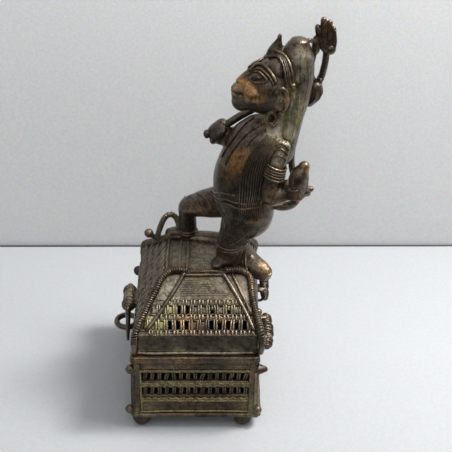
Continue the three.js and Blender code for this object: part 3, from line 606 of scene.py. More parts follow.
# the middle barrel of each hinge with its rings, and the flat ring that the fastening drops into
for sy, full in ((-1, 1.0), (1, 0.62)):
    y = sy * HINGE_Y
    barrel = ((0, -3.8), (2.7, -3.75), (3.2, -2.4), (3.45, 0), (3.2, 2.4), (2.7, 3.75), (0, 3.8))
    box_parts.append(turned([(r * full, y + at) for r, at in barrel], (HINGE_X, 0, HINGE_Z), "y", 22))
    for at in (-2.6, 0, 2.6):
        box_parts.append(hoop((HINGE_X, y + at, HINGE_Z), (3.3 * full, 0, 0), (0, 0, 3.3 * full), 0.55))
    leaf = ((30, y - 3, 42.2), (HINGE_X, y - 3, 43.2), (HINGE_X, y - 3, 44.6), (30, y - 3, 44.6))
    box_parts.append(plate(*leaf, 0.1))
    neck = [(30, y, 43.4), (33, y, 43.4), (35.5, y, 43.8)]
    box_parts.append(strand(neck, 1.5, 10, out=(0, 0, 1), flat=0.8))
box_parts.append(hoop((-RIM_X - 4.9, 0, 35.7), (5.3, 0, 0), (0, 5.3, 0), 1.5, 12, 40))
box_parts.append(strand([(x, 0, 35.2) for x in (-30.5, -31.6, -32.4)], 2.0, 12))

box_shell = cast("box_shell", box_parts, box_green, "casket", wobble=0.14)
box_knobs = cast("box_knobs_and_feet", knob_parts, knob_brown, "casket", wobble=0.2)
box_lines = cast("box_threads", box_threads, box_line, "casket", wobble=0.14, creases=box_parts)
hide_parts("box")
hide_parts("box")
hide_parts("box")


# The upper half, modelled in wax and cast in one: a hollow hipped roof on an upright skirt, with wound ropes
# down its hips, smooth rods and rows of threads and openings on its near end, hatched plaits on its fastening
# side and a flat top for the figure.
LID_LEFT, LID_RIGHT, LID_Y = -29.2, 31.0, 39.5
LID_LOW, EAVES, TOP = 45.35, 57.6, 77.6
FLAT_LEFT, FLAT_RIGHT, FLAT_NEAR, FLAT_FAR = -14.6, 26.0, -14.8, 15.8
LID_WALL, THIN_WALL = 2.4, 2.0


def skirt_spot(side, along, z, out=0.0):
    """A place on the lid's upright skirt, with its sides numbered like the box's."""
    left, right, y = LID_LEFT - out, LID_RIGHT + out, LID_Y + out
    return np.array([*((along, -y), (right, along), (-along, y), (left, -along))[side], z])


def roof_spot(side, along, up, out=0.0):
    """A place on one of the roof's slopes, numbered like the box's walls; up is counted from the eaves."""
    eaves = (-LID_Y, LID_RIGHT, LID_Y, LID_LEFT)[side]
    run = (FLAT_NEAR, FLAT_RIGHT, FLAT_FAR, FLAT_LEFT)[side] - eaves
    rise = TOP - EAVES
    tip = unit(np.array([math.copysign(rise, eaves), 0.0, abs(run)]))
    place = np.array([eaves + run * up / rise, along, EAVES + up]) + tip * out
    return place if side % 2 else place[[1, 0, 2]]


def slope_ends(side, up):
    """Where the hips lie at this height, low end and high end along the slope."""
    across, deep = ((LID_LEFT, FLAT_LEFT), (LID_RIGHT, FLAT_RIGHT)), ((-LID_Y, FLAT_NEAR), (LID_Y, FLAT_FAR))
    return [eaves + (flat - eaves) * up / (TOP - EAVES) for eaves, flat in (deep if side % 2 else across)]


def slope_plate(side, low, high, first=None, last=None, thick=LID_WALL, step=1.3):
    """A plate between two heights of a slope, from hip to hip or between two places along it."""
    (a, b), (d, c) = slope_ends(side, low), slope_ends(side, high)
    if first is not None:
        a, b, c, d = first, last, last, first
    corners = [roof_spot(side, along, up) for along, up in ((a, low), (b, low), (c, high), (d, high))]
    if side in (2, 3):
        corners = [corners[k] for k in (1, 0, 3, 2)]
    return plate(*corners, thick, step)


def slope_thread(side, up, first, last, radius, out=0.1, wave=0.0, drop=0.0):
    """A thread along a slope at one height, waved a little."""
    places = [
        roof_spot(side, s, up + wave * math.sin(1.7 * s + up) + drop * math.sin(0.2 * s), out)
        for s in np.arange(first, last, 1.2)
    ]
    return strand(places, radius, 6)


def wound_rope():
    """Geometry nodes that wind a fine thread closely round a core along a path."""
    tree, come, leave = group_of("wound rope", "GeometryNodeTree", [
        ("Geometry", "Geometry"), ("Core", "Float", 0.0013), ("Thread", "Float", 0.0004),
        ("Pitch", "Float", 0.0012), ("Step", "Float", 0.00035), ("Bronze", "Material"),
    ], [("Geometry", "Geometry")])
    node, sum_of = partial(added, tree), partial(calc, tree)
    curve = node("GeometryNodeMeshToCurve", 0, {"Mesh": come["Geometry"]})

    def cut(length):
        """The path in stretches of a length."""
        return node("GeometryNodeResampleCurve", 0, {"Curve": curve, "Length": length}, mode="LENGTH")

    def swept(path, radius, sides):
        """A round bar along a path."""
        ring = node("GeometryNodeCurvePrimitiveCircle", "Curve", {"Resolution": sides, "Radius": radius})
        return node("GeometryNodeCurveToMesh", 0, {"Curve": path, "Profile Curve": ring, "Fill Caps": True})

    def scaled(vector, share):
        """A vector made longer or shorter."""
        return node("ShaderNodeVectorMath", 0, {0: vector, "Scale": share}, operation="SCALE")

    core = swept(cut(0.0012), come["Core"], 12)
    shorter = sum_of("DIVIDE", come["Pitch"], sum_of("MULTIPLY", come["Core"], 6.6))
    fine = cut(sum_of("MULTIPLY", come["Step"], shorter))
    reach = node("GeometryNodeSplineParameter", "Length")
    turn = sum_of("MULTIPLY", sum_of("DIVIDE", reach, come["Pitch"]), 2 * math.pi)
    ahead, up = node("GeometryNodeInputTangent"), node("GeometryNodeInputNormal")
    aside = calc(tree, "CROSS_PRODUCT", ahead, up, node="ShaderNodeVectorMath")
    away, beside = scaled(up, sum_of("COSINE", turn)), scaled(aside, sum_of("SINE", turn))
    around = scaled(calc(tree, "ADD", away, beside, node="ShaderNodeVectorMath"), come["Core"])
    wind = node("GeometryNodeSetPosition", 0, {"Geometry": fine, "Offset": around})
    both = node("GeometryNodeJoinGeometry", 0, {"Geometry": [core, swept(wind, come["Thread"], 5)]})
    real = node("GeometryNodeRealizeInstances", 0, {"Geometry": both})
    leaving = node("GeometryNodeSetMaterial", 0, {"Geometry": real, "Material": come["Bronze"]})
    plug(tree, leave, {"Geometry": leaving})
    return tree


rope_tree = wound_rope()


def rope(path, core=1.25, thread=0.42, pitch=1.25, step=0.6):
    """A wound rope along a path of points in millimetres, as points and faces."""
    points = line_through(path, 1.5)
    line = bpy.data.meshes.new("rope path")
    line.from_pydata([in_frame(p) for p in points], [(i, i + 1) for i in range(len(points) - 1)], [])
    sizes = {"Core": core / MM, "Thread": thread / MM, "Pitch": pitch / MM, "Step": step / MM}
    return split_faces(grown("rope", rope_tree, sizes, line))


lid_parts = [
    level_plate(FLAT_LEFT, FLAT_RIGHT, FLAT_NEAR, FLAT_FAR, TOP, LID_WALL, 1.6),
    level_plate(-7.6, -4.2, -15.4, 14.0, TOP + 1.0, 1.4, 0.9),
]
for near_x, middle_x, far_x, near_y, far_y, end_z, middle_z, radius, sides in (
    (-7.7, -7.8, -7.6, -15.4, 14, 0.8, 0.9, 0.72, 7), (-4.2, -4.1, -4.2, -15.4, 14, 0.8, 0.9, 0.72, 7),
    (-14.0, -14.2, -14.0, -14.0, 15, 0.1, 0.4, 0.8, 7), (-12.2, -12.4, -12.2, -13.0, 15, 0.05, 0.15, 0.5, 6),
    (25.6, 25.8, 25.6, -14.0, 15, 0, 0.2, 0.9, 7),
):
    places = [(near_x, near_y, TOP + end_z), (middle_x, 0, TOP + middle_z), (far_x, far_y, TOP + end_z)]
    lid_parts.append(drawn(places, 1.5, radius, sides))
bead_parts, rope_parts = [], []
skirt_ends = ((LID_LEFT, LID_RIGHT), (-LID_Y, LID_Y), (-LID_RIGHT, -LID_LEFT), (-LID_Y, LID_Y))
for side, (first, last) in enumerate(skirt_ends):
    corners = ((first, LID_LOW), (last, LID_LOW), (last, EAVES), (first, EAVES))
    lid_parts.append(plate(*(skirt_spot(side, s, z) for s, z in corners), LID_WALL))
    for z, radius, out in (
        (LID_LOW + 0.85, 0.85, 0.1), (LID_LOW + 2.3, 0.5, 0.0), (EAVES - 0.2, 0.65, 0.0),
        (EAVES - 1.4, 0.5, -0.1),
    ):
        rungs = bead_parts if radius > 0.8 and side == 0 else lid_parts
        places = [(s, z + 0.15 * math.sin(s * 0.21 + z), out) for s in np.arange(first + 0.4, last, 1.3)]
        rungs.append(strand([skirt_spot(side, *place) for place in places], radius, 7))
    for k, z in enumerate(np.arange(LID_LOW + 3.3, EAVES - 2.1, 0.82)):
        alongs = np.arange(first + 0.6, last, 1.6)
        places = [(s, z + 0.13 * math.sin(s * 0.23 + 2.1 * k), -0.16) for s in alongs]
        lid_parts.append(strand([skirt_spot(side, *place) for place in places], 0.36, 5))

# near end: strips of plate between two rows of openings, with a plain upper field
PACE = 4.1
lid_parts += [slope_plate(0, 0, 1.45), slope_plate(0, 4.4, 6.5), slope_plate(0, 9.2, 20.0)]
row_b = [-12.3, -8.2, -4.1, 8.2, 12.3, 16.4, 20.5, 24.6]
row_a = [-7.8, -3.7, 8.6, 16.8]
for low, high, x in ((7.7, 9.4, 8.6), (7.7, 9.4, 16.8), (3.7, 4.6, 12.3), (3.7, 4.6, 20.5)):
    lid_parts.append(slope_plate(0, low, high, x - 1.2, x + 1.2, THIN_WALL, 0.6))
for low, high, holes, wide in ((1.45, 4.4, row_b, 0.8), (6.5, 9.2, row_a, 0.68)):
    left, right = slope_ends(0, high)
    spots = sorted([left + 1.0] + [h + s * wide for h in holes for s in (-1, 1)] + [right - 1.0])
    for start, stop in zip(spots[::2], spots[1::2]):
        if stop - start > 2.6:
            lid_parts.append(slope_plate(0, low, high, start, stop, THIN_WALL, 0.9))
    beside = list(zip(holes, holes[1:]))
    rungs = [(a + b) / 2 for a, b in beside if b - a < 4.2]
    rungs += [*np.arange(holes[0] - PACE / 2, left + 1.5, -PACE)]
    rungs += [*np.arange(holes[-1] + PACE / 2, right - 1.2, PACE)]
    for a, b in beside:
        if b - a >= 4.2:
            rungs += [*np.arange(a + PACE / 2, b - 1.5, PACE)]
    for k, x in enumerate(rungs):
        tilt = 0.16 * math.sin(7.1 * k + low)
        for s in (x - 0.6, x + 0.6):
            places = ((s + tilt, low - 0.3, 0.15), (s, (low + high) / 2, 0.4), (s - tilt, high + 0.3, 0.15))
            lid_parts.append(drawn([roof_spot(0, *place) for place in places], 0.8, 0.55, 7))
for low, high in ((-0.3, 1.3), (4.5, 6.3), (9.4, 11.0)):
    left, right = slope_ends(0, high)
    inner = 0 if low < 1 else 4.0
    left, right = left + inner * 0.6, right - inner * 0.3
    for up in (low, high):
        lid_parts.append(slope_thread(0, up, left, right, 0.42, 0.15, 0.1))
    first = row_b[0] - PACE / 2 - PACE * math.floor((row_b[0] - left - 4.2) / PACE)
    for k, s in enumerate(np.arange(first, right - 1.6, PACE / 2)):
        s += (-0.26 if k % 2 else 0.26) + 0.12 * math.sin(3.1 * k)
        ups = (low - 0.05, low + 0.4, (low + high) / 2, high - 0.4, high + 0.05)
        bow = [roof_spot(0, s, up, out) for up, out in zip(ups, (0.1, 0.3, 0.38, 0.3, 0.1))]
        bead_parts.append(strand(bow, 0.6, 9))
for k, up in enumerate(np.arange(12.5, 19.6, 0.72)):
    left, right = slope_ends(0, up)
    left += 9.0 - (20 - up) * 0.28 + (4.0 if up > 16.5 and k % 3 == 0 else 0)
    right -= 12.0 - (20 - up) * 0.3 + (9.0 + 4 * math.sin(2.3 * k)) * (up > 13.5)
    lid_parts.append(slope_thread(0, up, left, right, 0.26, -0.06, 0.05, 0.12))

# the other three sides are closed plates with the same threads, and two blind rows on the far end
lid_parts += [slope_plate(side, 0, 20.0, step=1.8) for side in (1, 2, 3)]
for side, ups, radius, out in ((2, (0.6, 5.6, 7.2, 12.4, 14.0), 0.5, 0.15), (1, (4, 10, 16), 0.8, 0.2)):
    for up in ups:
        left, right = slope_ends(side, up)
        lid_parts.append(slope_thread(side, up, left + 2, right - 2, radius, out, out))
for low, high in ((0.8, 5.4), (7.4, 12.2)):
    left, right = slope_ends(2, high)
    for x in np.arange(left + 2.5, right - 2, 2.3):
        places = ((x, low, 0.1), (x + 0.2, (low + high) / 2, 0.3), (x, high, 0.1))
        lid_parts.append(strand([roof_spot(2, *place) for place in places], 0.5, 6))

# smooth rods that frame the near field, and their fellows at the far end
for side in (0, 2):
    for top_x, foot_x, radius, up, fall, out, bow, count in (
        (FLAT_LEFT + 9.4, LID_LEFT + 5.7, 1.15, 19.8, 18.6, 0.55, 0.8, 20),
        (FLAT_RIGHT - 12.4, LID_RIGHT - 1.8, 1.1, 19.8, 18.6, 0.55, 0.8, 20),
        (FLAT_RIGHT - 7.6, LID_RIGHT - 3.0, 0.85, 19.4, 13.125, 0.35, 0, 12),
    ):
        t = np.linspace(0, 1, count)
        places = zip(top_x + (foot_x - top_x) * t + bow * np.sin(math.pi * t), up - fall * t)
        rope_parts.append(strand([roof_spot(side, *place, out) for place in places], radius, 9))

# hatched plaits along the fastening side
for k, up in enumerate((2.3, 7.1, 11.9, 16.7)):
    left, right = slope_ends(3, up)
    for s in np.arange(left + 3.4, right - 3.4, 4.4):
        s_here = s + 0.3 * math.sin(s + up)
        places = [(s_here + 2.5 * t, up + 2.3 * t, 0.5 - 0.3 * t * t) for t in (-1, -0.5, 0, 0.5, 1)]
        lid_parts.append(strand([roof_spot(3, *place) for place in places], 0.8, 7))
    if k:
        lid_parts.append(slope_thread(3, up - 2.4, left + 2, right - 2, 0.55, 0.1, 0.1))

# ropes from the flat top down the hips, and a smooth bar at each corner of the skirt
for sx, sy in ((-1, -1), (1, -1), (1, 1), (-1, 1)):
    corner = np.array([(FLAT_LEFT, FLAT_RIGHT)[sx > 0], (FLAT_NEAR, FLAT_FAR)[sy > 0], TOP])
    eaves = np.array([(LID_LEFT, LID_RIGHT)[sx > 0], LID_Y * sy, EAVES])
    bulges = sx > 0 and sy < 0
    foot_x = LID_LEFT - 0.9 if sx < 0 else LID_RIGHT + (1.4 if bulges else -1.1)
    foot_y = sy * (LID_Y + 0.4)
    path = [corner + (-sx * 11, -sy * 0.2, 0.9), corner + (-sx * 4, -sy * 0.3, 1.1)]
    for share, out in ((0.06, 0.6), (0.3, 0.6), (0.6, 0.6), (0.96, 1.8 if bulges else 0.3)):
        path.append(corner + (eaves - corner) * share + np.array([sx, 0.5 * sy, 0.4]) * out)
    path += [(foot_x + (0.9 if bulges else 0.2), foot_y, EAVES - 6), (foot_x, foot_y, LID_LOW + 1.2)]
    lid_parts.append(drawn(path[5:], 1.2, 1.55, 10))
    rope_parts.append(rope(path[:7], core=1.5, thread=0.45, pitch=1.2))
for sy, edge in ((-1, -15.2), (1, 15.6)):
    path = [(-2.6, edge, TOP + 0.75), (4, edge - 0.1, TOP + 0.95), (11.6, edge, TOP + 0.75)]
    rope_parts.append(rope(path, core=0.7, thread=0.34, pitch=1.05))
    ledge = ((-7.0, 1.1, 0.5), (4, 1.2, 0.35), (15, 1.1, 0.5))
    lid_parts.append(drawn([(x, edge + sy * out, TOP - down) for x, out, down in ledge], 1.5, 0.75, 8))

# the small handle between the hinges, and the outer barrels of the hinges
handle = ((30.5, 48.4), (33.4, 48.2), (35.4, 49.8), (35.6, 52.4), (33.6, 54.6), (31.4, 54.2))
lid_parts.append(drawn([(x, 1.5, z) for x, z in handle], 0.7, 0.8, 8))
for sy, full in ((-1, 1.0), (1, 0.68)):
    for y in (sy * HINGE_Y - 8.1, sy * HINGE_Y + 8.1):
        barrel = ((0, -3.8), (1.7, -3.75), (2.5, -2.4), (2.9, 0), (2.5, 2.4), (1.7, 3.75), (0, 3.8))
        rope_parts.append(turned([(r * full, y + at) for r, at in barrel], (HINGE_X, 0, HINGE_Z), "y", 22))
        for at in (-2.7, -1.35, 0, 1.35, 2.7):
            reach = (2.85 - 0.14 * abs(at)) * full
            rope_parts.append(hoop((HINGE_X, y + at, HINGE_Z), (reach, 0, 0), (0, 0, reach), 0.5))
        leaf = [(LID_RIGHT - 1, y, 47), (LID_RIGHT + 2, y, 47.1), (HINGE_X, y, 47.3)]
        lid_parts.append(strand(leaf, 1.5, 12, out=(0, 0, 1), flat=0.85))

# the barrel of the fastening, two coiled bulbs with a waist between them
BARREL_X, BARREL_Z = -34.9, 51.0
lid_parts.append(level_plate(BARREL_X, LID_LEFT + 0.6, -6.6, 6.6, BARREL_Z + 1.5, 3.0, 0.9))
waist = [(0, -5), (2.7, -4.9), (2.95, -2.4), (2.4, -2.0), (3.25, -1.4)]
waist += [(r, -at) for r, at in waist[::-1]]
rope_parts.append(turned(waist, (BARREL_X, 0, BARREL_Z), "y", 24))
for y in (-5.7, 5.7):
    rope_parts.append(round_blob((BARREL_X, y, BARREL_Z), (3.35, 3.5, 3.35), 24, 14))
    for at in (-2.2, -1.1, 0, 1.1, 2.2):
        reach = math.sqrt(3.4**2 - at**2) - 0.02
        rope_parts.append(hoop((BARREL_X, y + at, BARREL_Z), (reach, 0, 0), (0, 0, reach), 0.42))

# lid bronze: its dark spots on the near skirt are painted shade under the eaves; the one on the near slope
# darkens it
lid_bronze = bronze_finish(
    "lid bronze", green=0.15, dust=0.10, ruddy=0.25,
    dark_spots=[(4, -40, 53, 18, 0.95), (22, -40, 52, 13, 0.85), (-18, -40, 52, 12, 0.8),
                (5, -24, 71, 13, 0.3)],
    spots=[(-3, -36, 61, 9, 0.75), (14, -36, 61, 9, 0.3), (2, -17, 78, 7, 0.3), (-5.5, -10, 78.6, 8, 0.2)],
    green_spots=[(-20, -40, 46, 7, 0.7), (-8, -40, 46, 8, 0.75), (4, -40, 46, 7, 0.6), (17, -40, 46, 8, 0.7),
                 (-19, -36, 60, 9, 0.9), (-12, -30, 65, 7, 0.8), (18, -28, 68, 6, 0.6), (4, -20, 74, 7, 0.6),
                 (-6, -34, 62, 7, 0.5)],
    dust_and_sheen_spots=[(6, 2, 78, 19, 0.5), (-7, 2, 78, 14, 0.4), (-22, -4, 68, 12, 0.15), (-12, -24, 70, 9, 0.36),
                (26, -22, 70, 9, 0.5), (-22, -30, 64, 8, 0.4), (-6, -40, 45.6, 6, 0.4),
                (8, -40, 45.6, 6, 0.4), (20, -40, 45.6, 6, 0.35)],
)
rung_bronze = bronze_finish(
    "rung bronze", green=0.3, dust=0.2, rubbed=0.06, ruddy=0.45, coat=0.3, spots=[(0, -34, 62, 9, 0.25)],
    green_spots=[(x, -40, 46, 8, 0.8) for x in (-24, -15, -6, 3, 12)],
    dust_and_sheen_spots=[(x, -40, 46, 7, 0.55) for x in (-20, -10, 0, 9, 17)],
)
# rope bronze: its dark, dull spots are painted shade that keeps the ropes' glints to a few bends
rope_bronze = bronze_finish(
    "rope bronze", green=0.2, ruddy=0.45, coat=0.15, green_spots=[(-35, 0, 53.5, 4, 0.9)],
    dust_and_sheen_spots=[(-35, 0, 53, 11, 0.35), (38, -22, 47, 9, 0.3)],
    dark_spots=[(-20.5, -22, 69, 6.5, 0.8), (-29, -35, 56, 9, 0.8), (-9, -15, 79, 5, 0.6),
                (20, -15, 79, 5, 0.5), (31, -26, 66, 9, 0.85), (36, -37, 54, 8, 0.7)],
    spots=[(-14, -15, 78, 6, 0.12), (29, -22, 74, 7, 0.15), (-25, -34, 62, 6, 0.12), (4, -15, 78, 8, 0.3),
           (-35, -6, 51, 5, 0.15), (38, -24, 47, 6, 0.25), (33, -40, 50, 7, 0.2)],
)
lid_shell = cast("lid_shell", lid_parts, lid_bronze, "lid", wobble=0.12, creases=rope_parts)
lid_ropes = cast("lid_ropes", rope_parts, rope_bronze, "lid", wobble=0.12)
lid_rungs = cast("lid_rungs", bead_parts, rung_bronze, "lid", wobble=0.1)
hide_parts("lid_with_figure")
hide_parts("lid_with_figure")
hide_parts("lid_with_figure")


# The fastening: a slim bronze pin pushed through the barrel on the lid, headed at its far end, with a tapered
# spike hanging from its near end. It swings out of the ring cast on the box wall, and is hand-forged.
hook_bronze = bronze_finish("hook bronze", green=0.1, ruddy=0.5, dark_spots=[(-35, -11, 40, 9, 0.6)])
spike = np.array([(0, 53.0, 1.2), (0, 50.6, 1.5), (-0.2, 46, 1.3), (-0.5, 39, 1.05), (-0.9, 31.9, 0.75)])
spike = line_through(np.insert(spike, 1, -11.0, 1) + (BARREL_X, 0, 0, 0), 0.6)
hook_parts = [
    drawn([(BARREL_X, y, BARREL_Z) for y in (-10.8, 0, 10.6)], 1.0, 0.98, 12),
    turned([(0, 9.5), (1.5, 9.6), (1.85, 10.2), (1.5, 10.8), (0, 10.9)], (BARREL_X, 0, BARREL_Z), "y", 18),
    strand(spike, spike[:, 3], 12),
]
hook = cast("fastening_spike", hook_parts, hook_bronze, "hook", wobble=0.05)
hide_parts("fastening_hook")

# Two plain bronze pins hold the hinges: each runs through three barrels, two on the lid and one on the box,
# and is hammered over into a small round head at both ends.
pin_bronze = bronze_finish("pin bronze", green=0.2, ruddy=0.4)
for name, sy in (("near", -1), ("far", 1)):
    y = sy * HINGE_Y
    pin_parts = [drawn([(HINGE_X, y + at, HINGE_Z) for at in (-12.2, 0, 12.2)], 1.2, 0.98, 12)]
    for end in (-1, 1):
        rivet = ((0, 12.25), (1.6, 12.3), (1.85, 12.8), (1.4, 13.4), (0, 13.55))
        rivet = [(r, y + end * at) for r, at in rivet]
        pin_parts.append(turned(rivet[::end], (HINGE_X, 0, HINGE_Z), "y", 18))
    pin = cast("pin_" + name, pin_parts, pin_bronze, "casket", wobble=0.04)
    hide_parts("hinge_pin_" + name)


# The monkey-faced figure that strides on the lid, cast in one with it: modelled in wax as smooth limbs, with
# the dress, the jewellery and the hems laid on it in fine wax threads. Its own places are counted from the
# middle of the lid's flat top.
HERE = np.array([0.0, 1.5, TOP])


def limb(stations, sides=32, across=(0, 1, 0), step=0.8):
    """A limb from stations x, y, z, half width across, half width the other way; both ends run to a point."""
    rings = line_through([s if len(s) == 5 else (*s, s[3]) for s in stations[1:-1]], step)
    first, last = np.array(stations[0], float), np.array(stations[-1], float)
    rows = []
    for tip, ring, way in ((first, rings[0], 1), (last, rings[-1], -1)):
        for t in (0.97, 0.88, 0.72, 0.5, 0.26)[::way]:
            place = ring[:3] + (tip[:3] - ring[:3]) * t
            rows.append(np.concatenate([place, ring[3:] * math.sqrt(1 - t * t)]))
    rings = np.vstack([rows[:5], rings, rows[5:]])
    centres = rings[:, :3]
    ahead = unit(np.gradient(centres, axis=0))
    wide = np.broadcast_to(np.array(across, float), centres.shape)
    wide = unit(wide - ahead * (wide * ahead).sum(1)[:, None])
    deep = np.cross(wide, ahead)
    turn = 2 * math.pi * np.arange(sides)[None, :, None] / sides
    skin = centres[:, None] + wide[:, None] * np.cos(turn) * rings[:, 3, None, None]
    skin = skin + deep[:, None] * np.sin(turn) * rings[:, 4, None, None]
    verts = np.vstack([skin.reshape(-1, 3), [first[:3]], [last[:3]]]) + HERE
    return outward((verts, tube_faces(len(rings), sides, inside=True)))


def outward(body):
    """The body with its faces turned to the outside."""
    verts, faces = body
    volume = 0.0
    for group in faces:
        for k in range(1, group.shape[1] - 1):
            a, b, c = verts[group[:, 0]], verts[group[:, k]], verts[group[:, k + 1]]
            volume += np.einsum("ij,ij->", a, np.cross(b, c))
    return (verts, [group[:, ::-1] for group in faces]) if volume < 0 else body


def lump(centre, radii, sides=28, rows=18):
    """A ball or egg of wax on the figure."""
    return outward(round_blob(np.array(centre, float) + HERE, radii, sides, rows))


def fig_bar(points, radius, sides=10, step=0.8):
    """A bar of wax on the figure, of one radius or of one at each point."""
    path = line_through([(*p, r) for p, r in zip(points, np.broadcast_to(radius, (len(points),)))], step)
    return outward(strand(path[:, :3] + HERE, path[:, 3], sides))


def fig_hoop(centre, one, other, radius, sides, count):
    """A ring of thread on the figure."""
    return outward(hoop(np.asarray(centre, float) + HERE, one, other, radius, sides, count))


def merged(name, bodies, cell, smooth=3):
    """Overlapping bodies run together as one skin of wax, as points in millimetres and faces."""
    mesh = flat_mesh(name, *together(bodies))
    carrier = bpy.data.objects.new(name, mesh)
    bpy.context.scene.collection.objects.link(carrier)
    skin = carrier.modifiers.new("skin", "REMESH")
    skin.mode, skin.voxel_size = "VOXEL", cell / MM
    soft = carrier.modifiers.new("soft", "SMOOTH")
    soft.factor, soft.iterations = 0.5, smooth
    body = body_of(carrier)
    bpy.data.meshes.remove(mesh)
    return body


def dent(verts, centre, radii, push):
    """Pushes the skin near a place by a vector, fading out to the given radii."""
    away = (verts - (np.array(centre, float) + HERE)) / np.asarray(radii, float)
    share = np.exp(-(away**2).sum(1) * 1.6)
    return verts + share[:, None] * np.asarray(push, float)


def laid_on(surface, points, radius, lift=0.2, sides=6, step=0.9, flat=0.8):
    """A wax thread laid on the skin along the places it runs by; where no skin is near, it hangs free."""
    path, outs = [], []
    for p in line_through(points, step) + HERE:
        place, normal, _, away = surface.find_nearest(Vector(p))
        if place is None or away > 9.0:
            place, normal = p, (0, -1, 0)
        path.append(np.array(place) + np.array(normal) * lift)
        outs.append(np.array(normal))
    path = np.array(path)
    for _ in range(2):
        path[1:-1] = path[1:-1] * 0.5 + (path[:-2] + path[2:]) * 0.25
    return outward(strand(path, radius, sides, out=np.array(outs), flat=flat))


shoulders = (0.8, -0.6, 0)
torso = limb([
    (24.5, 2, 14.5), (24.5, 2, 17, 8, 7), (24.8, 1.5, 23, 13, 11), (24.7, 1.5, 29, 13.8, 11.8),
    (22.6, 1.5, 36.5, 13.6, 12.4), (23.1, 1.5, 44, 14.8, 12.7), (27, 1.5, 55, 15.2, 11.8),
    (30.5, 1.5, 63, 14.8, 10.4), (34.5, 2, 70, 11.5, 8.5), (37.8, 2, 76, 6.8, 6.6), (40, 2, 84, 6.6, 6.6),
    (41, 2, 92),
], 48, shoulders)
far_leg = limb([
    (27, 6, 28), (21, 8, 27.8, 9, 8.8), (10, 10.5, 24.6, 7.8, 8.2), (2, 13.5, 21.2, 6.6, 6.7),
    (-3.4, 15.2, 18.6, 5.4, 5.7), (-4.4, 16, 14, 4.4, 4.6), (-4.4, 16, 7, 4.4, 4.7), (-4.4, 16, 2, 4.6, 4.8),
    (-4.4, 16, -1),
], 32)
far_foot = limb([
    (-16, 17.8, 1.6), (-14.6, 17.7, 1.8, 2.6, 1.8), (-9, 17, 2.6, 3.6, 2.8), (-3, 16.2, 2.6, 3.6, 2.9),
    (0.6, 15.8, 0.6),
], 24)
near_leg = limb([
    (25.6, -2, 37), (26.0, -2.5, 33, 8.2, 12.6), (25.5, -3.4, 25, 9.2, 12.9), (20.7, -4.6, 18, 8.6, 8.6),
    (17.9, -5.6, 12, 7.4, 6.9), (17.3, -6.2, 7, 6.8, 6.8), (17.4, -6.6, 2, 6.8, 6.6), (17.6, -6.6, -1),
], 36)
near_foot = limb([
    (8.6, -11.4, 1.6), (9.8, -11, 1.8, 3, 1.8), (14, -9.4, 2.8, 4.6, 3), (19, -7.6, 2.8, 4.8, 3),
    (24, -5.6, 1),
], 24)
near_arm = limb([
    (42.5, -4.5, 69), (42, -6, 66.6, 3.6, 4.4), (40.6, -8, 62, 4.3, 4.5), (38.2, -10, 55, 4.2, 4.2),
    (36.8, -11.4, 47, 4.5, 4.9), (37, -12, 42, 4.5, 4.9), (41, -12.6, 42.8, 3.9, 4.2),
    (45.6, -12.8, 44.2, 3.0, 3.6), (50, -12.6, 44.6, 2.6, 3.2), (55, -12, 44.5, 2.2, 2.6), (56.5, -12, 44.6),
], 28)
far_arm = limb([
    (24, 6, 65), (20, 8.4, 63.8, 4.6, 4.6), (14.6, 11.4, 61.8, 4.2, 4.5), (11, 12, 62, 3.6, 4.0),
    (10.4, 12, 64.5, 3.5, 3.9), (13.5, 11.6, 68, 4, 3.6), (16.4, 11.2, 69.4),
], 28)
digits = []
for x, y, z, long, splay, radius, drop in (
    (12.4, -13.4, 1.7, 3.4, -0.5, 1.25, 0.2), (11.6, -11.6, 1.7, 3.4, -0.2, 1.25, 0.2),
    (11.6, -9.7, 1.7, 3.4, 0.15, 1.25, 0.2), (12.6, -8.0, 1.7, 3.4, 0.5, 1.25, 0.2),
    (-12.4, 15.6, 1.5, 3.0, -0.4, 1.05, 0.2), (-13.0, 17.0, 1.5, 3.0, -0.12, 1.05, 0.2),
    (-12.8, 18.6, 1.5, 3.0, 0.16, 1.05, 0.2),
):
    digits.append(fig_bar([(x, y, z), (x - long, y + splay, z - drop)], radius, 8))
for k in range(4):
    digits.append(fig_bar([
        (10.4 + k * 1.4, 11.4, 59.4 + 0.9 * k), (8.8 + k * 1.6, 7.6, 60.8 + 1.2 * k),
        (8.6 + k * 1.8, 6.8, 63.2 + 1.2 * k), (9.6 + k * 1.8, 8.6, 65.8 + 0.9 * k),
    ], 1.25, 8))
for k in range(3):
    tip = (51.6 - 0.9 * k, -16.0, 43.0 + 2.2 * k)
    path = [(45.4, -15.0, 42.6 + 1.7 * k), (48.2, -16.2, 43.2 + 1.9 * k), tip]
    digits.append(fig_bar(path, 1.2, 8))
digits.append(lump((44.8, -12.8, 48.4), (2.5, 2.4, 3.4), 18, 12))
limbs = [torso, far_leg, far_foot, near_leg, near_foot, near_arm, far_arm]
body = merged("figure body", limbs + digits, 0.55, 4)
body = (hand_made(body[0], 0.3, 7.0), body[1])

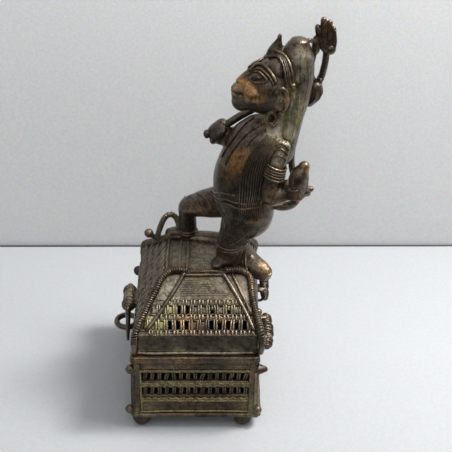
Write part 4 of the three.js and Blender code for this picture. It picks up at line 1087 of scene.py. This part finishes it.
# the head, with the face's hollows pressed into it
head_parts = [
    limb([
        (17.9, 2, 89.2), (18.8, 2, 89.4, 4.4, 3.6), (21.4, 2, 89.8, 6.4, 6.2), (30.4, 2, 91.4, 10.2, 11.5),
        (35.6, 2, 93.2, 11.4, 13.6), (41, 2, 94.8, 11.4, 13), (46, 2, 96, 9.5, 10), (49, 2, 97),
    ], 44),
    lump((22.5, 2, 96.6), (2.6, 2.5, 1.9)),
    fig_bar([(22.4, 2, 97.4), (25.4, 2, 99.6), (29.0, 2, 102.0)], [1.8, 2.2, 2.6], 14),
]
for x, y, z, *radii in (
    (23.0, 2, 92.9, 4.2, 5.8, 3.0), (22.9, 2, 86.2, 5.0, 5.6, 4.7), (39.8, 2, 102.4, 6.4, 9.2, 8.6),
    (28.0, 2, 87.4, 6.2, 6.2, 6.2), (28.6, -3.6, 92.6, 5.6, 5.4, 5.2), (28.6, 7.6, 92.6, 5.6, 5.4, 5.2),
    (30.8, -3.6, 100.6, 4.4, 2.6, 3.2), (30.8, 7.6, 100.6, 4.4, 2.6, 3.2),
):
    head_parts.append(lump((x, y, z), radii))
points, faces = merged("figure head", head_parts, 0.4, 4)
for at in (-1, 1):
    for x, y, z, radii, (push_x, push_y, push_z) in (
        (20.3, 1.5, 95.6, (0.8, 0.8, 0.8), (1.2, -0.5, 0.2)),
        (26.0, 5.4, 98.4, (2.0, 2.4, 1.5), (0.8, -0.8, 0)),
        (20.2, 4.6, 91.9, (2.2, 2.6, 0.75), (1.3, -1.2, 0.1)),
        (22.6, 6.4, 92.5, (2.4, 2.0, 0.7), (0.5, -1.2, 0.1)),
        (31.8, 7.2, 101.7, (4.2, 3.0, 3.0), (0.4, -1.0, 0)),
    ):
        points = dent(points, (x, 2 + at * y, z), radii, (push_x, push_y * at, push_z))
points = dent(points, (18.4, 2, 90.6), (2.0, 4.0, 0.8), (2.2, 0, 0))
points = dent(points, (19.4, 2, 95.0), (1.6, 4.0, 0.8), (1.4, 0, 0))
skull = (points, faces)

cap = limb([
    (49.2, 2, 118.6), (49.1, 2, 116.8, 4.4, 4.4), (48.4, 2, 110.5, 7.6, 7.4), (48.6, 2, 102, 8.8, 8),
    (48.2, 2, 90, 8.5, 7), (46.6, 2, 78, 6.8, 5.7), (44.4, 2, 61, 5.1, 4.7), (43, 2, 51),
], 40)
crest = limb([
    (38.2, 2, 107.6), (38.2, 2, 109.6, 3.0, 4.6), (38.4, 2, 112.2, 2.4, 3.8), (39.0, 2, 114.8, 1.7, 2.5),
    (39.8, 2, 117.6, 1.1, 1.2), (40.2, 2, 120.6),
], 28)
cap_body = merged("figure cap", [cap, crest], 0.5, 3)
cap_body = (hand_made(cap_body[0], 0.25, 7.0), cap_body[1])

# what the hands hold, and the tail with its spread tuft
offering = limb([
    (50.5, -12, 40.5), (50.5, -12, 43, 3.2, 3.6), (49.9, -12, 48, 4.4, 5.1), (50.6, -12, 53.5, 4.2, 4.6),
    (52.4, -12, 58.0, 2.6, 2.8), (53.6, -12, 60.9),
], 28)
peg = fig_bar([(52, -12, 46.4), (57.0, -12, 45.9)], [1.5, 1.3], 12)
mace = fig_bar([(6.0, 11, 63.4), (13, 11.2, 66.8), (24, 11, 74.4), (40, 10, 84), (55, 8, 91)], 1.9, 14)
mace_knob = lump((6.0, 11, 63.4), (1.7, 2.2, 2.2))
mace_head = limb([
    (54.0, 8, 80.6), (54.9, 8, 82.4, 3.1, 2.5), (56.9, 8, 86.5, 4.4, 3.9), (58, 8, 90.5, 3.8, 3.1),
    (58.6, 8, 93.6),
], 28)
RIBS = 9
mace_ribs = []
for turn in np.arange(RIBS) * 2 * math.pi / RIBS:
    c, s = math.cos(turn), math.sin(turn)
    rib = ((54.2, 2.2, 2.6, 82.0), (56.7, 4.0, 4.4, 86.5), (58.3, 2.0, 2.6, 92.6))
    mace_ribs.append(fig_bar([(x + wide * c, 8 + deep * s, z) for x, wide, deep, z in rib], 0.65, 7))
tail_path = [
    (35, 2, 29.4), (40, 1.5, 28.4), (44.4, 1.2, 27.8), (48.6, 1, 29.6), (50.6, 1, 33.6), (50.2, 1.4, 40),
    (47.6, 2, 50), (47.4, 3, 58), (49.4, 4, 69), (52.6, 6, 82), (59.7, 8.6, 93.6), (61.8, 9, 101.6),
    (62.4, 9, 109),
]
tail = fig_bar(tail_path, [2.4, 2.4, 2.3, 2.2, 2.0, 1.8] + [1.65] * 7, 14)
tuft = []
for root, waist, tip, r in (
    ((62.4, 9, 108), (59.4, 9, 113.4), (57.4, 9, 121.9), 1.75),
    ((62.8, 9, 108), (60.8, 9, 115), (60.3, 9, 125.6), 1.9),
    ((63.4, 9, 108), (63.2, 9, 115.4), (63.2, 9, 124.2), 1.75),
    ((64.2, 9, 107), (65.5, 9, 112.6), (65.0, 9, 121.0), 1.55),
):
    root, waist, tip = np.array(root, float), np.array(waist, float), np.array(tip, float)
    third, high = root + (waist - root) * 0.3, tip + (waist - tip) * 0.2
    tuft.append(limb([root, (*third, r, r), (*waist, r, r), (*high, r * 0.8, r * 0.8), tip], 18))
    for turn in (np.arange(4) + 0.4) * math.pi / 2:
        off = np.array([math.cos(turn), math.sin(turn), 0]) * (r - 0.15)
        tuft.append(fig_bar([third + off, waist + off, high + off * 0.8], 0.42, 6))
tuft_root = lump((64.2, 9, 109.6), (2.6, 2.4, 2.9))
brace_path = [(58.6, 9, 113.5), (56.6, 7.6, 107), (55.6, 7.0, 101), (56.2, 7.4, 96.0), (58.2, 8.2, 93.0)]
brace = fig_bar(brace_path, 1.05, 10)
lobe = [(57.6, 9, 116.4), (57.6, 9, 114.4, 2.0, 1.9), (57.2, 8.6, 110, 2.2, 2.1), (57.0, 8.2, 107)]
tuft.append(limb(lobe, 18))
cap_tie = fig_bar([(53, 3, 116.6), (58.4, 8.6, 113.4)], 1.05, 10)
path = line_through(tail_path, 0.5)
k = int(0.855 * (len(path) - 2))
ahead = unit(path[k + 1] - path[k])
side = unit(np.cross(ahead, [0, 1, 0]))
tail_ring = fig_hoop(path[k], side * 1.6, np.cross(side, ahead) * 1.6, 0.35, 5, 16)

# the face's threads, the ears with their rings, and the crown's bands, on both sides of the head
on_skull, on_body, on_cap = surface_of(skull), surface_of(body), surface_of(cap_body)
face_threads, eyes = [], []
FACE_THREADS = (
    ([(26.5, .7, 102), (28.8, 1.0, 104.2), (31.6, .2, 105.5), (34.7, -3.6, 105), (37, -5.9, 102.9),
      (38.3, -8, 100.3)], 0.95, 0.45),
    ([(25.6, .0, 100.8), (28.0, -.6, 102.6), (31.4, -1.8, 104.0), (34.0, -4.6, 103.4), (36.2, -6.6, 101.4),
      (37.4, -8, 99.0)], 0.7, 0.35),
    ([(27.0, -2.4, 101.4), (28.4, -2.9, 103.0), (30.4, -3.5, 103.6), (32.8, -5.0, 102.4),
      (34.6, -6.8, 100.8)], 0.7, 0.5),
    ([(27.0, -2.4, 101.4), (28.4, -4.3, 99.9), (30.4, -5.8, 99.2), (32.8, -6.8, 99.5),
      (34.6, -6.8, 100.8)], 0.65, 0.5),
    ([(18.8, 1.8, 89.4), (19.6, -1.4, 89.8), (21.4, -3.6, 90.4), (24.0, -5.4, 91.2)], 0.7, 0.2),
    ([(18.8, 1.8, 92.4), (19.4, -1.6, 93.2), (21.4, -3.6, 93.8), (23.8, -5.0, 94.2)], 0.5, 0.1),
)
EAR_THREADS = (
    ([(38.4, -8.6, 95.6), (39.4, -9.6, 98.0), (41.6, -10.0, 98.2), (43.4, -9.8, 95.3), (43.6, -9.0, 90.7),
      (42.4, -7.6, 86.4), (40.2, -6.6, 84.2)], 1.1, 9, 0.8),
    ([(39.6, -9.2, 94.6), (41.4, -9.9, 95.0), (42.6, -9.8, 93.2), (42.0, -9.2, 91.0), (40.2, -8.8, 91.4),
      (40.4, -9.0, 93.2)], 0.6, 7, 0.6),
)
for at in (-1, 1):
    for path, *sizes in FACE_THREADS:
        face_threads.append(laid_on(on_skull, [(x, 2 + at * (2 - y), z) for x, y, z in path], *sizes))
    for path, *sizes in EAR_THREADS:
        face_threads.append(fig_bar([(x, 2 + at * (2 - y), z) for x, y, z in path], *sizes))
    face_threads += [
        lump((45.0, 2 + at * 9.4, 92.0), (1.7, 1.6, 5.4), 16, 12),
        lump((40.4, 2 + at * 9.6, 91.0), (3.2, 1.6, 5.4), 18, 12),
        lump((46.2, 2 + at * 11.0, 99.4), (1.3, 1.3, 1.3), 14, 9),
        fig_hoop((36.7, 2 + at * 8.2, 81.2), (2.5, 0, 0), (0, 0, 3.2), 1.2, 9, 32),
    ]
    eyes.append(lump((30.9, 2 + at * 6.8, 101.3), (2.6, 1.1, 1.4), 20, 12))
bands = []
inner = [(33.4, 2, 108.8), (39.0, -1.8, 111.0), (41.8, -6.4, 107.2), (43.0, -8.6, 100.5), (43.2, -9.0, 96)]
outer = [(37.0, 2, 112.8), (42.2, -2.6, 111.6), (45.0, -7.0, 107.5), (46.3, -8.8, 100.3), (46.2, -9.2, 96)]
for share, radius in ((0, 0.72), (0.33, 0.55), (0.62, 0.55), (1, 0.8)):
    half = np.array(inner) + (np.array(outer) - inner) * share
    bands.append(fig_bar([(x, 4 - y, z) for x, y, z in half[:0:-1]] + [*half], radius, 8, 0.9))

# the dress: straps over the breast, the hatched shawl, armlets, girdle, anklets, pleats and the collar's arcs
dress = []
for strap in (
    [(28.8, 2.8, 76.5), (24.5, 2.2, 73.1), (20.2, .5, 68.6), (16.4, .2, 62.2), (13.9, .5, 57)],
    [(32.4, -3, 76.4), (26.8, -2.3, 72.3), (22.1, -3.2, 67.4), (18.3, -3.4, 61.5), (15.4, -3.7, 55)],
    [(34.3, -5.1, 74.3), (29.1, -5.2, 71.2), (24.9, -6.5, 66.5)],
):
    for d in (-0.45, 0.45):
        dress.append(laid_on(on_body, np.array(strap) + (0, d * 0.3, d), 0.5, 0.3))
hems = []
for hem in (
    [(34.8, -6.5, 72.6), (27.3, -8.8, 63.4), (23.5, -10.1, 54.3), (22.2, -10.7, 42.3), (22.2, -10.8, 30.4),
     (25.6, -11.6, 26.4)],
    [(43.8, -6.6, 68.4), (36.6, -10.1, 62.5), (34.5, -11.2, 54.9), (33.9, -12, 44.7), (31.1, -9.9, 30.3),
     (29.8, -9.9, 26.6)],
):
    path = line_through(hem, 0.5)
    hems.append(path[(np.linspace(0, 1, 40) * (len(path) - 1)).astype(int)])
for share in np.linspace(0, 1, 11):
    way = hems[0] + (hems[1] - hems[0]) * share
    dress.append(laid_on(on_body, way[::3], 0.3, 0.36 if 0.02 < share < 0.98 else 0.5, 6, 1.2, flat=1.0))
for z, size in ((57.4, 5.0), (56.0, 4.95), (54.7, 4.95), (53.4, 5.05), (52.0, 5.15)):
    down = 5.2 * (66.6 - z) / 24
    dress.append(fig_hoop((41.2 - down, -6.6 - down, z), (size, 0, -2.0), (0, size * 0.98, 0), 0.62, 7, 32))
THREADS = (
    (0.6, 0.2, [
        [(6.9, 8.8, 31), (11.4, 2.1, 32.2), (16.4, -7.5, 35.8), (21.3, -9.8, 34.3), (31, -11, 34.6),
         (38, -4, 35.6), (37, 6, 35.6)],
        [(9.6, 7.0, 34.4), (12.6, -1, 37.6), (14.4, -5.4, 40.8), (20.2, -9.7, 41.7)],
        [(8.0, 8.2, 32.6), (12.0, .6, 34.6), (16, -7, 38.2), (21, -9.8, 37.6), (31, -11, 36.6),
         (38, -4, 37.6)],
    ]),
    (0.7, 0.3, [
        [(11.6, -5, z), (13.6, -10.4, z + 0.1), (19.4, -12.8, z + 0.2), (24.8, -11, z + 0.8),
         (27.6, -6, z + 1.6)]
        for z in (10.9, 9.4)
    ]),
    (0.6, 0.3, [
        [(-9, 15.6, z), (-7.6, 12.2, z), (-4.4, 11.2, z), (-1.2, 12.2, z), (0.2, 15.6, z)] for z in (3.6, 5.0)
    ]),
    (0.5, 0.1, [
        [(-6.1, 17.5, 23.9), (-2.8, 10, 23.7), (2.3, 7.8, 20.1)],
        [(-3.4, 14.5, 26.2), (0.6, 9.4, 26.4), (4.4, 5.2, 22.5)],
        [(0.6, 13, 28.2), (5.4, 6.6, 29.4), (8.4, 3.2, 25.5)], [(14, 4, 33), (16, -3, 27), (17, -8, 21)],
        [(12.6, 5, 31.6), (14.4, -1, 26), (14.6, -7, 19)], [(27, -12, 22), (22, -13, 17), (17, -12, 13.4)],
        [(31, -11, 20), (26, -12.4, 14.6), (20, -12, 12.2)],
    ]),
    (0.5, 0.3, [
        [(38.6, -8.3, 67.5), (41.9, -8, 68.4), (44.8, -8.8, 65.6)],
        [(38.0, -9.3, 65.6), (41.6, -10, 66.6), (44.6, -10.2, 63.6)],
        [(37.4, -10.7, 63.2), (41.0, -11.8, 64), (44.2, -11.4, 61.4)],
    ]),
)
for radius, lift, paths in THREADS:
    dress += [laid_on(on_body, path, radius, lift) for path in paths]
cap_threads = []
for d in (-3.4, 0.2, 3.6):
    path = [
        (49.2 + d, -5.3, 110.6), (49.4 + d * 1.5, -6.5, 101.1), (48.8 + d * 1.3, -6.2, 90.7),
        (48.4 + d, -4.4, 79.3), (46 + d * 0.6, -3.4, 66),
    ]
    cap_threads.append(laid_on(on_cap, path, 0.3, 0.0, 5, 1.5))

# figure bronze: its dark spots are painted shade on the front and under faces of belly, chest, legs and
# forearm, between the legs and on the tail's link to the cap, with a darker tone on the fist and mace head;
# its dust spots on the cap and upper arm are painted sheen, the rest dust
skin_bronze = bronze_finish(
    "figure bronze", green=0.12, ruddy=0.42,
    dark_spots=[(17, -10, 121, 15, 0.95), (24, -11, 112, 11, 0.95), (20, -12, 97, 16, 0.85),
                (-4, 12, 88, 11, 0.75), (18, -12, 82, 9, 0.8), (12, -10, 80, 7, 0.6), (9, 6, 105, 9, 0.7),
                (3, 4, 104, 9, 0.45), (10, 10, 140, 9, 0.6), (57, 9, 164, 8, 0.5), (56, 8, 193, 4, 0.6),
                (45, -12, 122, 8, 0.75), (8, 0, 110, 8, 0.5), (14, 2, 116, 9, 0.6), (29, -10, 122, 9, 0.9),
                (31, -10, 132, 9, 0.9), (35, -9, 142, 7, 0.8)],
    spots=[(21, -9, 137, 10, 0.8), (16, -7, 131, 8, 0.55), (0, 6, 101, 9, 0.28), (37, -14, 122, 6, 0.2),
           (50, -17, 122, 4, 0.35), (54, -13, 136, 4, 0.3), (45, -10, 185, 4, 0.4), (62, 8, 200, 7, 0.2)],
    green_spots=[(42, -4, 152, 12, 0.7), (36, -2, 154, 10, 0.6), (48, -4, 160, 14, 0.95),
                 (46, -6, 150, 9, 0.5), (46.5, -6, 168, 9, 1.0), (43, -9, 172, 10, 0.9)],
    dust_and_sheen_spots=[(42.5, -4, 151, 7, 1.0), (46, -4, 148.5, 6, 0.8), (38, -6, 150, 6, 0.5),
                (40.2, -11, 140, 5, 0.5), (48.6, -8, 180.5, 5, 0.8), (45.5, -6, 184, 4, 0.4),
                (51, -5, 187, 9, 0.3), (47, -7, 166, 9, 0.15)],
)
# face bronze: its dark spots are painted shade in the eye and under the chin and jaw
face_bronze = bronze_finish(
    "face bronze", green=0.1, ruddy=0.4, dust_and_sheen_spots=[(44, -6, 169, 6, 0.4)],
    dark_spots=[(30.9, -3.3, 178.9, 4.5, 0.9), (33, -6, 162, 11, 0.9), (21, 0.5, 162, 8, 0.8),
                (26.6, -3.5, 163.0, 8, 0.85)],
    spots=[(21, 2, 175, 6, 0.8), (19.5, -1, 170.6, 5, 0.75), (25, -3, 172, 7, 0.9), (30, -7, 171, 6, 0.6),
           (22, -2, 164, 4, 0.25)],
    green_spots=[(44, -6, 170, 10, 1.0), (40, -7, 163, 8, 0.8)],
)
thread_bronze = bronze_finish(
    "thread bronze", green=0.12, rubbed=0.06, ruddy=0.4,
    dark_spots=[(31, -3, 181, 8, 0.6), (37, -13, 131, 6, 0.55), (30, -10, 130, 12, 0.2),
                (43, -8, 144, 5, 0.4)],
    spots=[(30.5, -3, 179, 6, 0.15), (45, -8, 183, 6, 0.1), (41, -9, 170, 7, 0.3), (36, -6, 157, 5, 0.4),
           (30, -11, 104.5, 5, 0.4)],
    green_spots=[(43, -8, 173, 8, 0.6), (46, -8, 176, 5, 0.9), (38, -8, 148, 6, 0.5),
                 (40, -12, 132, 5, 0.4)],
)
near_body = [skull, cap_body, offering, mace, tail] + dress
near_head = [cap_body, body] + face_threads + bands
trunk = [body, skull, cap_body]
threads = dress + face_threads + bands[3:]
held = [offering, peg, mace, mace_knob, mace_head, tail, tuft_root, brace, cap_tie, tail_ring]
held += mace_ribs + tuft
face = [skull] + eyes
crowned = [cap_body] + cap_threads + bands[:3]
near_cap = [body, skull, tail] + bands
figure_body = cast("figure_body", [body], skin_bronze, "lid", wobble=0.0, creases=near_body)
figure_head = cast("figure_head", face, face_bronze, "lid", wobble=0.0, creases=near_head)
figure_cap = cast("figure_cap", crowned, skin_bronze, "lid", wobble=0.0, creases=near_cap)
figure_dress = cast("figure_threads", threads, thread_bronze, "lid", wobble=0.0, creases=trunk)
figure_held = cast("figure_mace_and_tail", held, skin_bronze, "lid", wobble=0.1, creases=trunk)
for piece in (figure_body, figure_head, figure_cap, figure_dress, figure_held):
    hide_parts("lid_with_figure")


# The creature trodden on by the figure, a long low body with a blunt head at the hinge side and a tail looped
# up at the far corner of the fastening side, modelled in wax with the rest and cast in one with the lid.
beast_body = limb([
    (-18, 16.5, -0.5), (-12, 16.4, 0.4, 3.2, 1.8), (2, 14.6, 0.8, 4.2, 3.0), (14, 11, 0.6, 5, 3.6),
    (23, 3, -0.6, 6, 4.6), (27, -5, -1.2, 6, 5.5), (30.6, -9.4, -2.0, 5.6, 5.5), (34.4, -12, -2.9, 4.6, 4.7),
    (36.8, -13.2, -3.0, 3.2, 3.4), (38.0, -13.8, -2.9),
], 30)
beast_ear = lump((28, -7.6, 3.3), (1.4, 1.4, 1.8), 14, 10)
beast_loop = np.array([
    (-20.4, 16.5, -1.2), (-19.2, 16.4, 4), (-16.4, 16.2, 11.2), (-13.2, 16, 13.8), (-10.2, 16, 11.4),
    (-8.8, 16, 5.5),
])
beast_tail = rope(beast_loop + HERE, core=1.25, thread=0.4, pitch=1.2)
spur = fig_bar([(-20, 16.4, -2), (-24.2, 16, 1.6)], 1.4, 10)
spur_ball = lump((-24.8, 16, 2.2), (2.5, 2.5, 2.5), 18, 12)
beast_skin = merged("beast", [beast_body, beast_ear, spur, spur_ball], 0.5, 3)
on_beast = surface_of(beast_skin)
beast_threads = []
for d in (-1.6, 0.4, 2.2):
    path = [(-8, 14.0 + d * 0.4, 3), (4, 12.4 + d * 0.4, 4), (14, 9 + d * 0.5, 4.6), (21, 3 + d * 0.5, 5)]
    beast_threads.append(laid_on(on_beast, path, 0.5, 0.2))
for path, radius, lift in (
    ([(24.6, 0, 4.6), (23.4, -6, 4.2), (24.6, -9.6, 0)], 0.55, 0.25),
    ([(26.2, -1.6, 4.6), (25.0, -7.6, 4.2), (26.2, -11.2, 0)], 0.55, 0.25),
    ([(36.4, -11, -2.8), (36.0, -14.6, -2.6), (34.6, -16.2, -4.6)], 0.45, 0.2),
):
    beast_threads.append(laid_on(on_beast, path, radius, lift))
beast_threads += [lump((33.2, y, 0.4), (0.9, 0.9, 0.9), 12, 8) for y in (-14.2, -8.2)]
# beast bronze: its dark spots are painted shade under the head and body, with a darker, duller tone over the
# rest of the beast
beast_bronze = bronze_finish(
    "beast bronze", green=0.4, dust=0.12, ruddy=0.45, bump=0.6, spots=[(36, -11, 78, 7, 0.4)],
    dark_spots=[(18, 4, 80, 17, 0.6), (28, -6, 74, 11, 0.65), (33, -12, 70, 6, 0.8), (30, -14, 75, 6, 0.6),
                (28, -8, 82, 9, 0.25), (33, -9, 79, 9, 0.4)],
)
beast_parts, near_beast = [beast_skin, beast_tail] + beast_threads, [body] + rope_parts
beast = cast("beast", beast_parts, beast_bronze, "lid", wobble=0.12, creases=near_beast)
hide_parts("lid_with_figure")


# A white table top with a pale board standing behind it, which is clear from its back so that the object can
# be seen from there too, both with painted shade towards one end and a near-black sheet under the gap between
# them as a painted shadow line, soft daylight from above and the right, and the camera looking down on the
# near end.
def sheet_of(name, corners, colour, rough, grain, low=1.0, way="Z", first=-0.01, last=0.24):
    """A flat sheet with a fine grain and painted shade along one way, darker towards its low end; an upright
    one is clear from its back.
    """
    mesh = bpy.data.meshes.new(name)
    mesh.from_pydata([in_frame(c) for c in corners], [], [(0, 1, 2, 3)])
    mesh.update()
    piece = bpy.data.objects.new(name, mesh)
    bpy.context.scene.collection.objects.link(piece)
    material = bpy.data.materials.new(name)
    material.use_nodes = True
    tree = material.node_tree
    shader, end = tree.nodes["Principled BSDF"], tree.nodes["Material Output"]
    place = added(tree, "ShaderNodeTexCoord", "Object")
    speckle = added(tree, "ShaderNodeTexNoise", "Color", {"Vector": place, "Scale": 700, "Detail": 3})
    tint = added(tree, "ShaderNodeMapRange", "Vector", {
        "Vector": speckle, 7: (0.3, 0.3, 0.3), 8: (0.7, 0.7, 0.7),
        9: tuple(c - grain for c in colour), 10: tuple(min(1, c + grain) for c in colour),
    }, data_type="FLOAT_VECTOR")
    # painted shade: the colour falls from full at last to low at first along the way
    height = added(tree, "ShaderNodeSeparateXYZ", way, {"Vector": place})
    rise = added(tree, "ShaderNodeMapRange", "Result", {"Value": height, 1: first, 2: last, 3: low, 4: 1.0})
    shade = added(tree, "ShaderNodeVectorMath", 0, {0: tint, "Scale": rise}, operation="SCALE")
    plug(tree, shader.inputs, {"Roughness": rough, "Base Color": shade})
    if way == "Z":
        back = added(tree, "ShaderNodeNewGeometry", "Backfacing")
        clear = added(tree, "ShaderNodeBsdfTransparent")
        either = added(tree, "ShaderNodeMixShader", 0, {0: back, 1: shader.outputs[0], 2: clear})
        plug(tree, end.inputs, {"Surface": either})
    mesh.materials.append(material)


FAR = 1500
table = [(-420, -240, 0), (420, -240, 0), (420, 124, 0), (-420, 122, 0)]
# painted shade: the table top darker towards its near edge
sheet_of("table_top", table, (0.362, 0.373, 0.383), 0.6, 0.02, 0.8, "Y", -0.16, 0.02)
# a near-black sheet under the gap between table and board: a painted shadow line
edge = [(-FAR, 112, -6), (FAR, 116, -6), (FAR, 140, -6), (-FAR, 136, -6)]
sheet_of("painted_gap_shadow", edge, (0.03, 0.03, 0.035), 0.8, 0.01)
board = [(-FAR, 122.7, 0), (FAR, 127.1, 0), (FAR, 137.1, 1400), (-FAR, 132.7, 1400)]
# painted shade: the board darker towards the table
sheet_of("board_behind", board, (0.93, 0.935, 0.93), 0.85, 0.07, 0.61)
beyond = [(-FAR, 137, -0.5), (FAR, 141, -0.5), (FAR, 900, -0.5), (-FAR, 900, -0.5)]
sheet_of("table_beyond", beyond, (0.415, 0.427, 0.438), 0.6, 0.02, 1.0, "Y")

world = bpy.data.worlds.new("daylight")
bpy.context.scene.world = world
world.use_nodes = True
sky = world.node_tree
height = added(sky, "ShaderNodeSeparateXYZ", "Z", {"Vector": added(sky, "ShaderNodeTexCoord", "Generated")})
fade = added(sky, "ShaderNodeMapRange", "Result", {"Value": height, 1: -0.05, 2: 0.85, 3: 0.0, 4: 1.0})
low_sky, high_sky = (0.05, 0.053, 0.056, 1), (2.0, 2.03, 2.08, 1)
tone = added(sky, "ShaderNodeMix", "Result", {"Factor": fade, "A": low_sky, "B": high_sky}, data_type="RGBA")
plug(sky, sky.nodes["Background"].inputs, {"Color": tone, "Strength": 0.5})


def soft_light(name, place, aim, size, power, colour):
    """A soft lamp of two sides in metres, aimed at a place."""
    data = bpy.data.lights.new(name, "AREA")
    data.shape = "RECTANGLE"
    data.size, data.size_y = size
    data.energy, data.color = power, colour
    lamp = bpy.data.objects.new(name, data)
    bpy.context.scene.collection.objects.link(lamp)
    lamp.location = place
    lamp.rotation_euler = (Vector(aim) - Vector(place)).to_track_quat("-Z", "Y").to_euler()


soft_light("window", (0.52, 0.10, 0.95), (0, 0, 0.05), (0.22, 0.22), 12.0, (1.0, 0.99, 0.97))
soft_light("ceiling", (0.1, -0.55, 0.95), (0, 0, 0.12), (0.12, 0.12), 0.6, (0.97, 0.98, 1.0))
soft_light("far window", (-0.06, -0.85, 0.50), (0, 0, 0.12), (0.12, 0.10), 0.6, (0.98, 0.98, 1.0))
soft_light("board lamp", (0.42, -0.02, 0.72), (0.06, 0.125, 0.13), (0.3, 0.3), 5.8, (1.0, 1.0, 0.99))

SENSOR, FOCAL_PIXELS, PICTURE_PIXELS = 36.0, 1200, 452
camera = bpy.data.objects.new("camera", bpy.data.cameras.new("camera"))
bpy.context.scene.collection.objects.link(camera)
camera.data.sensor_width = SENSOR
camera.data.lens = SENSOR * FOCAL_PIXELS / PICTURE_PIXELS
camera.data.clip_start, camera.data.clip_end = 0.05, 10.0
camera.location = in_frame((15.4, -504.0, 422.8))
camera.rotation_euler = (math.radians(90 - 33), 0, 0)
bpy.context.scene.camera = camera
bpy.context.scene.view_settings.view_transform = "Standard"

bpy.context.view_layer.update()
